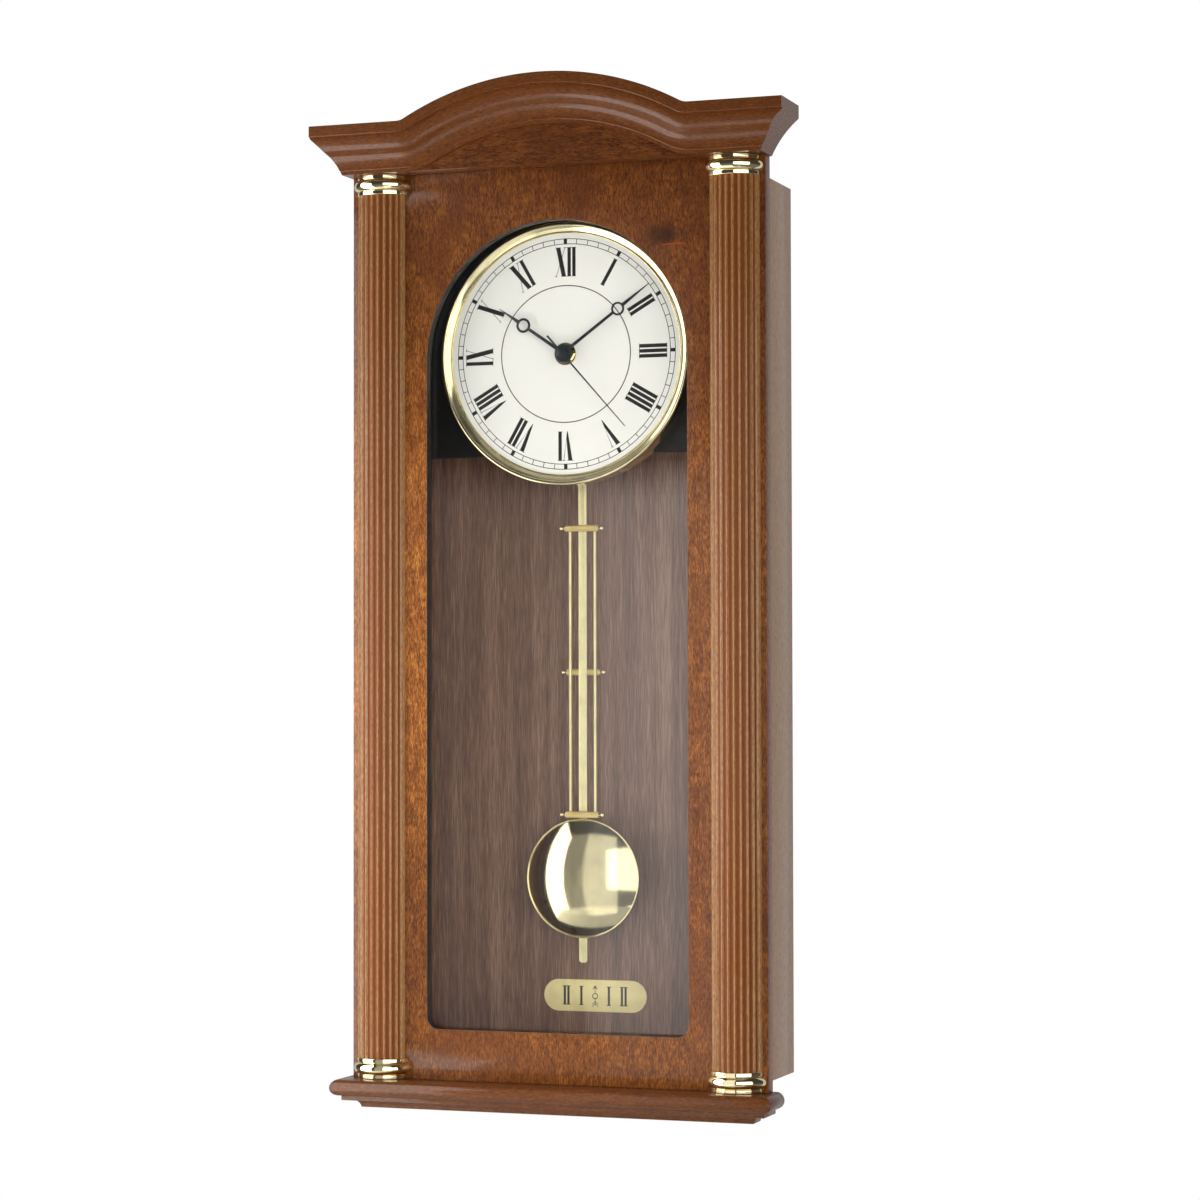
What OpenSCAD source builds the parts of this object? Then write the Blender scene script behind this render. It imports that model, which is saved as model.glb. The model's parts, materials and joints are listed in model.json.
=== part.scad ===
// Wall clock with a glazed door, fluted columns, a quartz movement and a free pendulum.
// Sub-parts are drawn with x = 0 on the centre line, y = 0 at the front of the door panel and
// z = 0 under the base moulding. to_hanger() then moves each one so that the origin is the
// middle of the hanging hole, on the wall.

/* [Case] */
// Overall height, from the base moulding to the crown of the cornice
clock_h = 600; // [600:1:620]
// Outer width of the case behind the door
case_w = 243.4; // [240:0.2:246]
// Thickness of the case boards
board_t = 12; // [10:0.5:13]
// Distance from the front of the door panel to the wall
case_back = 73; // [72:0.5:76]

/* [Door] */
// Width of the door panel
panel_w = 255.2; // [253:0.2:258]
// Thickness of the door panel
panel_t = 9; // [9:0.5:10]
// Width of the glazed window
window_w = 160.8; // [156:0.2:162]
// Height of the window sill
sill_z = 46.6; // [44:0.2:60]
// Distance of each column's centre line from the middle of the door
column_x = 109.3; // [108:0.1:110]
// Angle between the flutes of a column
flute_pitch = 15; // [12:1:20]

/* [Dial] */
// Height of the dial centre
dial_z = 441.5; // [438:0.5:444]
// Outer radius of the bezel
bezel_r = 77.4; // [76.5:0.1:78]
// Front face of the dial plate
dial_y = 18.5; // [18.5:0.1:19]
// Hour hand, degrees clockwise from twelve
hour_angle = 304.5; // [0:0.5:360]
// Minute hand, degrees clockwise from twelve
minute_angle = 54; // [0:0.5:360]
// Second hand, degrees clockwise from twelve
second_angle = 138.5; // [0:0.5:360]

/* [Pendulum] */
// Height of the pendulum pivot
pivot_z = 418; // [416:0.5:420]
// Height of the bob's centre
bob_z = 133.3; // [125:0.1:150]
// Radius of the bob
bob_r = 35.35; // [30:0.05:38]

/* [Hidden] */
$fn = 96;

hang_z = 507;              // height of the hanging hole
door_gap = 0.4;            // air between the door panel and the case
case_front = panel_t + door_gap;
case_bottom_z = 20.4;
case_top_z = 540.2;
back_y = 68.8;             // front face of the back board
back_t = 3;
rebate = 6;                // how far the back board is let into the case boards
panel_z0 = 17;
panel_z1 = 549;
window_r = window_w / 2;
arch_z = 437.8;            // centre of the window's round head
inside_x = case_w / 2 - board_t;
screw_r = 1.6;

crown_r = 175;             // top edge of the cornice over the dial
crown_z = clock_h - crown_r;
sweep_r = 11;              // hollow sweep between the crown and the level ends
sweep_x = 90;
cornice_top = 576.8;
sweep_z = cornice_top + sweep_r;
sweep_angle = atan(sweep_x / (sweep_z - crown_z));
glue_angle = 0.01;
cornice_x = 144.9;
cornice_h = cornice_top - panel_z1;
field_x = (crown_r - cornice_h) * sin(sweep_angle);

column_r = 15.5;
column_back = 4;           // the column's axis lies this far behind the panel's face
collar_h = 12;

board_y = 37;              // front face of the movement board
board_d = 6;
case_half = 28;            // half the width of the square movement case
seam_y = 29;               // where the two movement cases meet
wall_t = 1.5;
front_y = 20;              // front face of the movement
rear_y = 38;               // rear face of the movement
pivot_y = 37.5;            // rear end of the blind pivot holes

// Places of the arbors round the dial centre, as distance and direction
third_d = 9;
third_dir = -35;
motion_d = 9.6;
motion_dir = -140;
fourth_d = 7.5;
fourth_dir = 150;
rotor_d = 7;               // from the fourth arbor

// Gear modules: each one makes its pair fit its centre distance
centre_m = 2 * third_d / (80 + 10);
second_m = 2 * third_d / (75 + 10);
cannon_m = 2 * motion_d / (12 + 36);
hour_m = 2 * motion_d / (10 + 40);
fourth_m = 2 * fourth_d / (50 + 10);
rotor_m = 2 * rotor_d / (60 + 10);

battery_z = 458.5;
battery_y = 46;
battery_r = 7.25;
battery_l = 50.5;

rod_y = 47;                // front face of the pendulum rod
rod_t = 0.8;
bar_r = 1.9;
rod_x = 7.8;
bar_z = [340.5, 255.2, 170.9];
bob_bulge = 10;

clip_r = 3.5;              // rounded end of a glass clip

hinge_x = -124.6;
hinge_y = 12;
hinge_z = [110, 455];
hinge_h = 42;
knuckle_r = 2.5;
pin_r = 1.2;

// Moves a sub-part from the drawing frame to the hanging point
module to_hanger() translate([0, -case_back, -hang_z]) children();

// A flat outline in x and z, made solid between two depths
module slab(y0, y1) translate([0, y1, 0]) rotate([90, 0, 0]) linear_extrude(y1 - y0) children();

// A profile of radius and depth, turned round the depth axis
module turned(angle = 360, start = 0)
    rotate([-90, 0, 0]) rotate([0, 0, start]) rotate_extrude(angle = angle, $fn = 128) children();

// A rod along the depth axis, in the slab's x and z
module stud(r, y0, y1) slab(y0, y1) circle(r);

module box(low, high) translate(low) cube(high - low);

module at_dial() translate([0, 0, dial_z]) children();

// Moves to an arbor at a distance and direction from the dial centre
module at_arbor(d, dir) translate([d * cos(dir), 0, d * sin(dir)]) children();

// Points on an arc from a to b that bulges to the left of that line by s
function arc(a, b, s, n = 8) = let(
    c = norm(b - a), r = (c * c / 4 + s * s) / (2 * abs(s)), u = (b - a) / c,
    side = sign(s), mid = (a + b) / 2 - side * (r - abs(s)) * [-u[1], u[0]],
    half = asin(min(1, c / (2 * r))), top = side * [-u[1], u[0]])
    [for (i = [0:n]) let(t = half * (2 * i / n - 1)) mid + r * (cos(t) * top + sin(t) * u)];

// ---------- case ----------

module case_side() difference() {
    box([inside_x, case_front, case_bottom_z], [case_w / 2, case_back, case_top_z]);
    box([inside_x - 1, back_y, case_bottom_z - 1], [inside_x + rebate, case_back + 1, case_top_z + 1]);
}

module case_side_left() color("#6b4a3c") to_hanger() mirror([1, 0, 0]) case_side();

module case_side_right() color("#6b4a3c") to_hanger() case_side();

module case_top() color("#6b4a3c") to_hanger()
    box([-inside_x, case_front, case_top_z - board_t], [inside_x, back_y, case_top_z]);

module case_bottom() color("#6b4a3c") to_hanger()
    box([-inside_x, case_front, case_bottom_z], [inside_x, back_y, case_bottom_z + board_t]);

module hanger_screw_places() for (x = [-16, 16], z = [-5, 15]) translate([x, 0, hang_z + z]) children();

// Round entry with a narrower slot above it
module keyhole(entry_r, slot_r, slot_h) union() {
    circle(entry_r);
    translate([0, slot_h]) circle(slot_r);
    translate([-slot_r, 0]) square([2 * slot_r, slot_h]);
}

module back_board() color("#4a332b") to_hanger() difference() {
    box([-inside_x - rebate + 0.2, back_y, case_bottom_z], [inside_x + rebate - 0.2, back_y + back_t, case_top_z]);
    translate([0, 0, hang_z]) slab(back_y - 1, back_y + back_t + 1) keyhole(7, 7, 9);
    hanger_screw_places() stud(screw_r, back_y - 1, back_y + back_t + 1);
}

module hanging_rail() color("#5c4033") to_hanger() difference() {
    box([-inside_x, back_y - board_t, 494], [inside_x, back_y, case_top_z - board_t]);
    translate([0, 0, hang_z]) slab(back_y - board_t + 3, back_y + 1) keyhole(7, 7, 9);
    hanger_screw_places() stud(screw_r, back_y - 9, back_y + 1);
}

module hanger_plate() color("#c9c9c6") to_hanger() difference() {
    translate([0, 0, hang_z]) slab(back_y + back_t, case_back) difference() {
        translate([-22, -11]) square([44, 32]);
        keyhole(4.5, 2.3, 9);
    }
    hanger_screw_places() translate([0, case_back + 0.01, 0]) turned() countersink(0.1);
}

// Half outline of a countersunk head, with some play round it
module countersink(play) polygon([[0, -1.3], [screw_r + play, -1.3], [3 + play, 0], [0, 0]]);

module hanger_screws() color("#d8d8d4") to_hanger() hanger_screw_places() {
    difference() {
        union() {
            stud(screw_r, back_y - 8.5, case_back - 1.2);
            translate([0, case_back, 0]) turned() countersink(0);
        }
        slab(case_back - 0.6, case_back + 1) for (a = [0, 90]) rotate(a) square([3, 0.7], center = true);
    }
}

module board_screw_places() for (x = [-103.5, 103.5], z = [412, 462, 512]) translate([x, 0, z]) children();

// The board has a square opening for the movement and a notch below it for the pendulum drive
module movement_board() color("#1d1b1a") to_hanger() difference() {
    box([-inside_x + 0.3, board_y, 384], [inside_x - 0.3, board_y + board_d, 526]);
    at_dial() slab(board_y - 1, board_y + board_d + 1) square(2 * (case_half + 1), center = true);
    box([-16, board_y - 1, 383], [16, board_y + board_d + 1, dial_z - case_half]);
    board_screw_places() stud(screw_r, board_y - 1, board_y + board_d + 1);
}

module board_battens() color("#3a2c26") to_hanger() difference() {
    for (s = [0, 1]) mirror([s, 0, 0])
        box([inside_x - 12.3, board_y + board_d, 390], [inside_x, board_y + board_d + 12, 524]);
    board_screw_places() stud(screw_r, board_y, board_y + board_d + 9);
}

module board_screws() color("#d8d8d4") to_hanger() board_screw_places() difference() {
    union() {
        stud(screw_r, board_y - 0.1, board_y + board_d + 8.5);
        translate([0, board_y, 0]) turned() intersection() {
            translate([0, 1]) circle(3.2);
            translate([0, -3]) square([3.2, 3]);
        }
    }
    slab(board_y - 3, board_y - 1.2) for (a = [0, 90]) rotate(a) square([3.4, 0.8], center = true);
}

module scale_plaque() color("#c8b06a") to_hanger() slab(back_y - 0.8, back_y)
    for (s = [-1, 1]) translate([0, 62.1]) {
        translate([s * 23, 0]) circle(9.5);
        square([46, 19], center = true);
    }

// ---------- hinges and catch ----------

module hinge_barrel(z0, z1, bore) difference() {
    children();
    translate([hinge_x, hinge_y, z0 - 1]) cylinder(r = bore, h = z1 - z0 + 2);
}

module knuckle(z0, z1) translate([hinge_x, hinge_y, z0]) cylinder(r = knuckle_r, h = z1 - z0);

// Case leaf: two knuckles on a plate against the side's outer face
module hinge_case_leaves() color("#b8923f") to_hanger() for (z = hinge_z) translate([0, 0, z - hinge_h / 2])
    hinge_barrel(0, hinge_h, pin_r + 0.05) {
        for (z0 = [0, hinge_h * 2 / 3]) {
            knuckle(z0, z0 + hinge_h / 3 - 0.2);
            box([-case_w / 2 - 1, hinge_y, z0], [-case_w / 2, 16, z0 + hinge_h / 3 - 0.2]);
        }
        box([-case_w / 2 - 1, 15, 0], [-case_w / 2, 34, hinge_h - 0.2]);
    }

// Door leaf: one knuckle on a plate let into the rear of the panel
module hinge_door_leaves() color("#b8923f") to_hanger() for (z = hinge_z) translate([0, 0, z - hinge_h / 2])
    hinge_barrel(0, hinge_h, pin_r) {
        knuckle(hinge_h / 3 + 0.1, hinge_h * 2 / 3 - 0.3);
        box([hinge_x - 1, panel_t - 1, hinge_h / 3 + 0.1], [hinge_x + 1, hinge_y - 1.5, hinge_h * 2 / 3 - 0.3]);
        box([hinge_x - 1, panel_t - 1, 0], [-104, panel_t, hinge_h - 0.2]);
    }

module hinge_pins() color("#a8853a") to_hanger() for (z = hinge_z) translate([hinge_x, hinge_y, z - hinge_h / 2]) {
    translate([0, 0, -1]) cylinder(r = pin_r, h = hinge_h + 2);
    for (end = [-1.2, hinge_h + 0.2]) translate([0, 0, end]) cylinder(r = 1.9, h = 0.8);
}

module magnet_catch() color("#ded8c8") to_hanger() box([inside_x - 10, 10, 262], [inside_x, 24, 302]);

module strike_plate() color("#b9bcc0") to_hanger()
    box([inside_x - 9, panel_t, 266], [inside_x - 0.8, panel_t + 0.7, 298]);

// ---------- door ----------

// Window outline: a round head over a rectangle with slightly rounded lower corners
module window_outline(grow = 0) {
    corner = 7 + grow;
    translate([0, arch_z]) circle(window_r + grow);
    translate([-window_r - grow, sill_z - grow + corner])
        square([window_w + 2 * grow, arch_z - sill_z + grow - corner]);
    for (s = [-1, 1]) translate([s * (window_r + grow - corner), sill_z - grow + corner]) circle(corner);
    translate([-window_r - grow + corner, sill_z - grow])
        square([window_w + 2 * (grow - corner), corner]);
}

module door_panel() color("#8a4a2a") to_hanger() difference() {
    box([-panel_w / 2, 0, panel_z0], [panel_w / 2, panel_t, panel_z1]);
    slab(-1, panel_t + 1) window_outline();
    slab(panel_t - 2, panel_t + 1) window_outline(6.3);
    for (z = hinge_z) box([hinge_x - 1.1, panel_t - 1, z - hinge_h / 2 - 0.1],
        [-103.9, panel_t + 1, z + hinge_h / 2]);
}

module glass_pane() color("#cfe0dc", 0.3) to_hanger() slab(panel_t - 2, panel_t) window_outline(6);

module clip_places() {
    for (s = [-1, 1], z = [90, 210, 330, 430]) translate([s * (window_r + 8), 0, z]) children();
    for (a = [45, 135]) translate([(window_r + 8) * cos(a), 0, arch_z + (window_r + 8) * sin(a)])
        rotate([0, -a, 0]) children();
    for (x = [-40, 40]) translate([x, 0, sill_z - 7.3]) rotate([0, 90, 0]) children();
}

// Small cleats screwed to the rear of the panel, reaching over the edge of the glass
module glass_clips() color("#2b2a28") to_hanger() clip_places() {
    slab(panel_t, panel_t + 0.9) {
        for (s = [-1, 1]) translate([s * 3, 0]) circle(clip_r);
        square([6, 2 * clip_r], center = true);
    }
    translate([2, 0, 0]) stud(2.2, panel_t + 0.9, panel_t + 1.8);
}

// Front profile of the cornice: x is the depth below its top edge, y the depth of the clock
module cornice_profile() polygon(concat(
    [[0, panel_t], [0, -26.4], [6.6, -26.4], [6.9, -24.6]],
    arc([7.4, -24.8], [15.8, -20.5], -1.5),
    arc([16.2, -20], [25.3, -14.9], 1.6),
    [[25.5, -14.2], [cornice_h, -14.2], [cornice_h, panel_t]]));

// Front outline of the cornice, with hollow ends that die into the panel
module cornice_ends() polygon(concat(
    [[-cornice_x, clock_h + 1]], arc([-cornice_x, 569.5], [-128.9, 549], 1.5),
    arc([128.9, 549], [cornice_x, 569.5], 1.5), [[cornice_x, clock_h + 1]]));

module both_sides() for (s = [0, 1]) mirror([s, 0, 0]) children();

// A crown between two ends, each of a hollow sweep and a level length, with fine glue lines
module cornice() color("#7a3f24") to_hanger() {
    crown_angle = sweep_angle - glue_angle;
    translate([0, 0, crown_z]) turned(2 * crown_angle, -90 - crown_angle)
        translate([crown_r, 0]) mirror([1, 0]) cornice_profile();
    both_sides() translate([sweep_x, 0, sweep_z]) turned(sweep_angle, 90)
        translate([sweep_r, 0]) cornice_profile();
    intersection() {
        both_sides() translate([sweep_x, 0, cornice_top]) rotate([0, 90, 0])
            linear_extrude(cornice_x - sweep_x + 1) cornice_profile();
        slab(-30, panel_t + 1) cornice_ends();
    }
}

// Flat field between the arched moulding and the top of the panel
module tympanum() color("#8a4a2a") to_hanger() slab(-12.5, panel_t) difference() {
    union() {
        intersection() {
            translate([0, crown_z]) circle(crown_r - cornice_h - 0.02, $fn = 720);
            translate([-field_x, panel_z1]) square([2 * field_x, 40]);
        }
        translate([4 - sweep_x, panel_z1]) square([2 * sweep_x - 8, 4]);
    }
    for (s = [-1, 1]) translate([s * sweep_x, sweep_z]) circle(sweep_r + cornice_h + 0.02, $fn = 720);
}

// Outline of the base moulding along one direction: a hollow, a fillet and a half round
module base_profile(fillet, nose, back) polygon(concat(
    [[back, 0], [fillet - 9.5, 0]], arc([fillet - 9, 0], [fillet - 5, 4.6], 0.9, 6),
    [[fillet, 4.6], [fillet, 7.4]],
    arc([nose - 4.8, 7.4], [nose - 4.8, 17], -4.79, 14), [[back, 17]]));

module base_moulding() color("#7a4226") to_hanger() intersection() {
    translate([-150, 0, 0]) rotate([90, 0, 90]) linear_extrude(300)
        mirror([1, 0]) base_profile(14, 20, -panel_t);
    translate([0, panel_t, 0]) rotate([90, 0, 0]) linear_extrude(40) {
        base_profile(129.2, 134.5, -1);
        mirror([1, 0]) base_profile(129.2, 134.5, -1);
    }
}

// Half-round shaft with hollow flutes between thin ridges
module column() difference() {
    translate([0, column_back, panel_z0 + collar_h]) linear_extrude(panel_z1 - panel_z0 - 2 * collar_h)
        difference() {
            circle(column_r);
            for (a = [-60:flute_pitch:60]) rotate(a - 90) translate([column_r + 0.55, 0]) circle(1.9);
        }
    box([-20, 0, 0], [20, 40, clock_h]);
}

module column_left() color("#84502f") to_hanger() translate([-column_x, 0, 0]) column();

module column_right() color("#84502f") to_hanger() translate([column_x, 0, 0]) column();

// Round collar with a bead between two bands, cut off flat against the panel
module collar() difference() {
    translate([0, column_back, 0]) rotate_extrude() {
        square([16.4, collar_h]);
        translate([14.4, collar_h / 2]) circle(3.9);
    }
    box([-20, 0, -1], [20, 40, collar_h + 1]);
}

module collars(z) for (s = [-1, 1]) translate([s * column_x, 0, z]) collar();

module collars_top() color("#d8b25a") to_hanger() collars(panel_z1 - collar_h);

module collars_bottom() color("#d8b25a") to_hanger() collars(panel_z0);

// ---------- dial ----------

module dial_drum() color("#b8963f") to_hanger() at_dial() turned()
    polygon([[75, dial_y + 0.5], [75, board_y], [64, board_y], [64, board_y - 0.8], [74.2, board_y - 0.8],
        [74.2, dial_y + 1.3], [68, dial_y + 1.3], [68, dial_y + 0.5]]);

// Bezel: a bright outer bead, a band that slopes in towards the dial, and an inner lip
module bezel() color("#d9bd6a") to_hanger() at_dial() turned()
    polygon([[75.1, 24], [bezel_r, 24], [bezel_r, 15.6], [bezel_r - 0.3, 14.7], [bezel_r - 1.5, 14.1],
        [bezel_r - 2.4, 14.5], [72, 16.7], [71.1, 17], [71.2, dial_y], [75.1, dial_y]]);

module dial_face() color("#f4f3ec") to_hanger() at_dial() difference() {
    stud(73.8, dial_y, dial_y + 0.5);
    stud(4.1, dial_y - 1, dial_y + 2);
}

module dial_washer() color("#222222") to_hanger() at_dial() difference() {
    stud(9, dial_y + 0.5, front_y);
    stud(4.1, dial_y, front_y + 1);
}

module mounting_nut() color("#d6b560") to_hanger() at_dial() difference() {
    union() {
        stud(6.6, dial_y - 0.8, dial_y);
        slab(dial_y - 2.2, dial_y - 0.8) circle(6, $fn = 6);
    }
    stud(4, dial_y - 3, dial_y + 1);
}

module centre_bush() color("#c9a44c") to_hanger() at_dial() difference() {
    union() {
        stud(4, dial_y - 2.4, front_y + wall_t);
        stud(5.2, front_y + wall_t, front_y + wall_t + 0.2);
    }
    stud(2.65, dial_y - 3, front_y + 3);
}

// ---------- hands ----------

// A hand: tapering blade with a ring part way along, round a hub
module hand(hub_r, bore_r, ring_at, ring_r, ring_w, tip, w0, w1) rotate(0) difference() {
    union() {
        circle(hub_r);
        difference() {
            union() {
                polygon([[-w0 / 2, 0], [w0 / 2, 0], [w1 / 2, ring_at], [-w1 / 2, ring_at]]);
                translate([0, ring_at]) circle(ring_r);
                polygon([[-w0 * 0.62, ring_at], [w0 * 0.62, ring_at], [0.15, tip], [-0.15, tip]]);
            }
            translate([0, ring_at]) circle(ring_r - ring_w);
        }
    }
    circle(bore_r);
}

module hour_hand() color("#141414") to_hanger() at_dial() slab(15.2, 15.7)
    rotate(-hour_angle) hand(5.2, 2.6, 30.7, 4.35, 1.4, 49, 2.2, 1.7);

module minute_hand() color("#141414") to_hanger() at_dial() slab(13.6, 14.1)
    rotate(-minute_angle) hand(5.2, 1.7, 42, 4, 1.2, 66, 2, 1.6);

// Thin sweep hand with a short tail and a capped boss
module second_hand() color("#101010") to_hanger() at_dial() {
    slab(11.9, 12.2) rotate(-second_angle) difference() {
        union() {
            circle(3);
            polygon([[-0.6, -13.9], [0.6, -13.9], [0.25, 58.7], [-0.25, 58.7]]);
        }
        circle(0.75);
    }
    difference() {
        stud(2.2, 10.7, 12.9);
        stud(0.75, 11.2, 13);
    }
}

// ---------- gear train ----------

// Outline of a gear. A tooth, or a gap where gap is set, points in the direction toward
module gear(teeth, m, toward, gap = false) {
    pitch = 360 / teeth;
    start = toward + (gap ? pitch / 2 : 0);
    root_r = m * (teeth / 2 - 1);
    tip_r = m * (teeth / 2 + 0.8);
    polygon([for (i = [0:teeth - 1], e = [[-0.27, 0], [-0.11, 1], [0.11, 1], [0.27, 0]])
        let(a = start + pitch * (i + e[0]), r = e[1] == 1 ? tip_r : root_r) r * [cos(a), sin(a)]]);
}

module hour_wheel() color("#e9e4d4") to_hanger() at_dial() difference() {
    union() {
        stud(2.6, 15.2, 22.8);
        slab(21.9, 22.8) gear(40, hour_m, motion_dir, gap = true);
    }
    stud(1.75, 15, 23);
}

module centre_wheel() color("#d8b765") to_hanger() at_dial() difference() {
    union() {
        stud(1.7, 13.6, 25.8);
        slab(23.2, 24.4) gear(12, cannon_m, motion_dir);
        slab(25, 25.8) gear(80, centre_m, third_dir, gap = true);
    }
    stud(0.8, 13, 26);
}

module second_wheel() color("#e9e4d4") to_hanger() at_dial() {
    stud(0.75, 11.2, 27.2);
    slab(27.2, 28.4) gear(10, second_m, third_dir);
    stud(0.75, 28.4, 29.4);
    slab(29.4, 30.2) gear(50, fourth_m, fourth_dir, gap = true);
    stud(0.45, 30.2, pivot_y - 0.1);
}

module third_wheel() color("#d8b765") to_hanger() at_dial() at_arbor(third_d, third_dir) {
    stud(0.45, front_y + 0.5, pivot_y - 0.1);
    slab(24.8, 26) gear(10, centre_m, third_dir + 180);
    slab(27.4, 28.2) gear(75, second_m, third_dir + 180, gap = true);
}

module fourth_wheel() color("#e9e4d4") to_hanger() at_dial() at_arbor(fourth_d, fourth_dir) {
    stud(0.4, 26.3, pivot_y - 0.1);
    slab(29.2, 30.4) gear(10, fourth_m, fourth_dir + 180);
    slab(31.4, 32.2) gear(60, rotor_m, fourth_dir, gap = true);
}

module motor_rotor() color("#5a5a5e") to_hanger() at_dial() at_arbor(fourth_d + rotor_d, fourth_dir) {
    stud(0.4, 26.3, pivot_y - 0.1);
    stud(2.5, 28.4, 30.9);
    slab(31.2, 32.4) gear(10, rotor_m, fourth_dir + 180);
}

module motion_wheel() color("#e9e4d4") to_hanger() at_dial() at_arbor(motion_d, motion_dir) {
    stud(0.6, front_y + 0.5, 42);
    slab(21.7, 22.9) gear(10, hour_m, motion_dir + 180);
    slab(23.3, 24.1) gear(36, cannon_m, motion_dir + 180, gap = true);
}

// Knurled knob on the rear end of the motion arbor
module setting_knob() color("#2a2a2a") to_hanger() at_dial() at_arbor(motion_d, motion_dir) slab(38.4, 42) difference() {
    circle(4.5);
    for (i = [0:17]) rotate(i * 20) translate([4.75, 0]) circle(0.5);
    circle(0.6);
}

// ---------- movement ----------

// Every hole that an arbor needs, with a given play
module arbor_holes(play, y0, y1) {
    at_arbor(third_d, third_dir) stud(0.45 + play, y0, y1);
    at_arbor(motion_d, motion_dir) stud(0.6 + play, y0, y1);
}

module rear_holes(play, y0, y1) {
    stud(0.45 + play, y0, y1);
    at_arbor(third_d, third_dir) stud(0.45 + play, y0, y1);
    at_arbor(fourth_d, fourth_dir) stud(0.4 + play, y0, y1);
    at_arbor(fourth_d + rotor_d, fourth_dir) stud(0.4 + play, y0, y1);
}

module post_places() for (x = [-20.5, 20.5], z = [-11, 11]) translate([x, 0, z]) children();

module movement_front_case() color("#1f1f20") to_hanger() at_dial() {
    difference() {
        slab(front_y, seam_y) square(2 * case_half, center = true);
        slab(front_y + wall_t, seam_y + 1) square(2 * (case_half - wall_t), center = true);
        stud(4, front_y - 1, front_y + 2);
        arbor_holes(0.05, front_y + 0.4, front_y + 2);
    }
    post_places() stud(2, front_y + wall_t, 26.2);
}

module train_bridge() color("#cfcabb") to_hanger() at_dial() difference() {
    slab(26.2, 27) square([46, 27], center = true);
    stud(0.8, 26, 28);
    arbor_holes(0.05, 26, 28);
    at_arbor(fourth_d, fourth_dir) stud(0.45, 26, 28);
    at_arbor(fourth_d + rotor_d, fourth_dir) stud(0.45, 26, 28);
}

// Rear half of the movement, with the battery cradle and the pendulum drive housing
module movement_back_case() color("#1f1f20") to_hanger() difference() {
    union() {
        at_dial() slab(seam_y, rear_y) square(2 * case_half, center = true);
        box([-27.4, rear_y, battery_z - 8.7], [27.4, 49, battery_z + 8.7]);
        box([-13, 32, 396], [13, 42.3, dial_z - case_half]);
        translate([0, 0, pivot_z]) stud(3, rear_y, 44);
        translate([0, 0, dial_z - case_half]) box([-13, rear_y, 0], [13, 42.3, 1]);
    }
    at_dial() slab(seam_y - 1, rear_y - wall_t) square(2 * (case_half - wall_t), center = true);
    // battery cradle, open to the rear
    box([-26.2, battery_y, battery_z - battery_r - 0.3], [26.2, 50, battery_z + battery_r + 0.3]);
    translate([-26.2, battery_y, battery_z]) rotate([0, 90, 0]) cylinder(r = battery_r + 0.3, h = 52.4);
    // pocket for the drive coil, open at the rear
    translate([0, 0, 404]) stud(6.2, 33.5, 43);
    translate([0, 0, pivot_z]) stud(1, 38.5, 45);
    at_dial() {
        rear_holes(0.05, rear_y - 2, pivot_y);
        at_arbor(motion_d, motion_dir) stud(0.65, rear_y - 2, rear_y + 1);
    }
}

module motor_stator() color("#9a9ca0") to_hanger() at_dial() difference() {
    slab(29.3, 30.1) difference() {
        union() {
            translate([-24, 2.5]) square([15.6, 10]);
            translate([-24, 2.5]) square([3, 22]);
            translate([-11.4, 2.5]) square([3, 22]);
        }
        translate((fourth_d + rotor_d) * [cos(fourth_dir), sin(fourth_dir)]) circle(3);
    }
}

module motor_coil() color("#b5652d") to_hanger() at_dial() translate([-20.8, 29.7, 19.5]) rotate([0, 90, 0]) difference() {
    union() {
        cylinder(r = 3.1, h = 9.2);
        for (x = [0, 8.4]) translate([0, 0, x]) cylinder(r = 4, h = 0.8);
    }
    translate([-1, -0.4, -1]) cube([2, 0.8, 11.2]);
}

module circuit_board() color("#2f6b3c") to_hanger() at_dial() {
    box([2, 34.9, 10], [24, 35.7, 25]);
    box([9, 34.1, 14], [14, 34.9, 19]);
    translate([19, 34.9, 18]) rotate([90, 0, 0]) cylinder(r = 1.4, h = 3);
}

// Spring contact at the negative end and a flat contact at the positive end
module battery_contacts() color("#c8cacc") to_hanger() translate([0, battery_y, battery_z]) {
    box([-26.2, -5, -5], [-25.9, 3, 5]);
    box([25.9, -5, -5], [26.2, 3, 5]);
    translate([-25.9, 0, 0]) rotate([0, 90, 0]) cylinder(r = 2.6, h = 0.3);
}

module battery() color("#b7bcc2") to_hanger() translate([-battery_l / 2, battery_y, battery_z]) rotate([0, 90, 0]) {
    cylinder(r = battery_r, h = battery_l - 1.2);
    cylinder(r = 2.7, h = battery_l);
}

module pendulum_coil() color("#b5652d") to_hanger() translate([0, 0, 404]) difference() {
    union() {
        stud(5.2, 34.3, 40.7);
        for (y = [33.5, 40.7]) stud(6.2, y, y + 0.8);
    }
    stud(1.8, 33, 42);
}

module pendulum_axle() color("#d0d2d4") to_hanger() translate([0, 0, pivot_z]) {
    stud(1, 38.5, 48.6);
    stud(1.9, 48.1, 48.6);
}

// ---------- pendulum ----------

// Lever that hangs on the axle: an eye, an arm and a peg for the rod
module pendulum_lever() color("#e6e3da") to_hanger() difference() {
    union() {
        slab(44.6, rod_y) {
            translate([0, pivot_z]) circle(4.4);
            translate([-3, 402]) square([6, pivot_z - 402]);
            translate([0, 404]) circle(4.4);
        }
        translate([0, 0, 404]) stud(1.5, rod_y, rod_y + 2.4);
        translate([0, 0, 404]) stud(2.1, rod_y + 1.4, rod_y + 2.4);
    }
    translate([0, 0, pivot_z]) stud(1.05, 44, 48);
}

module pendulum_magnet() color("#6a6c70") to_hanger() translate([0, 0, 404]) stud(3, 42.8, 44.6);

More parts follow.
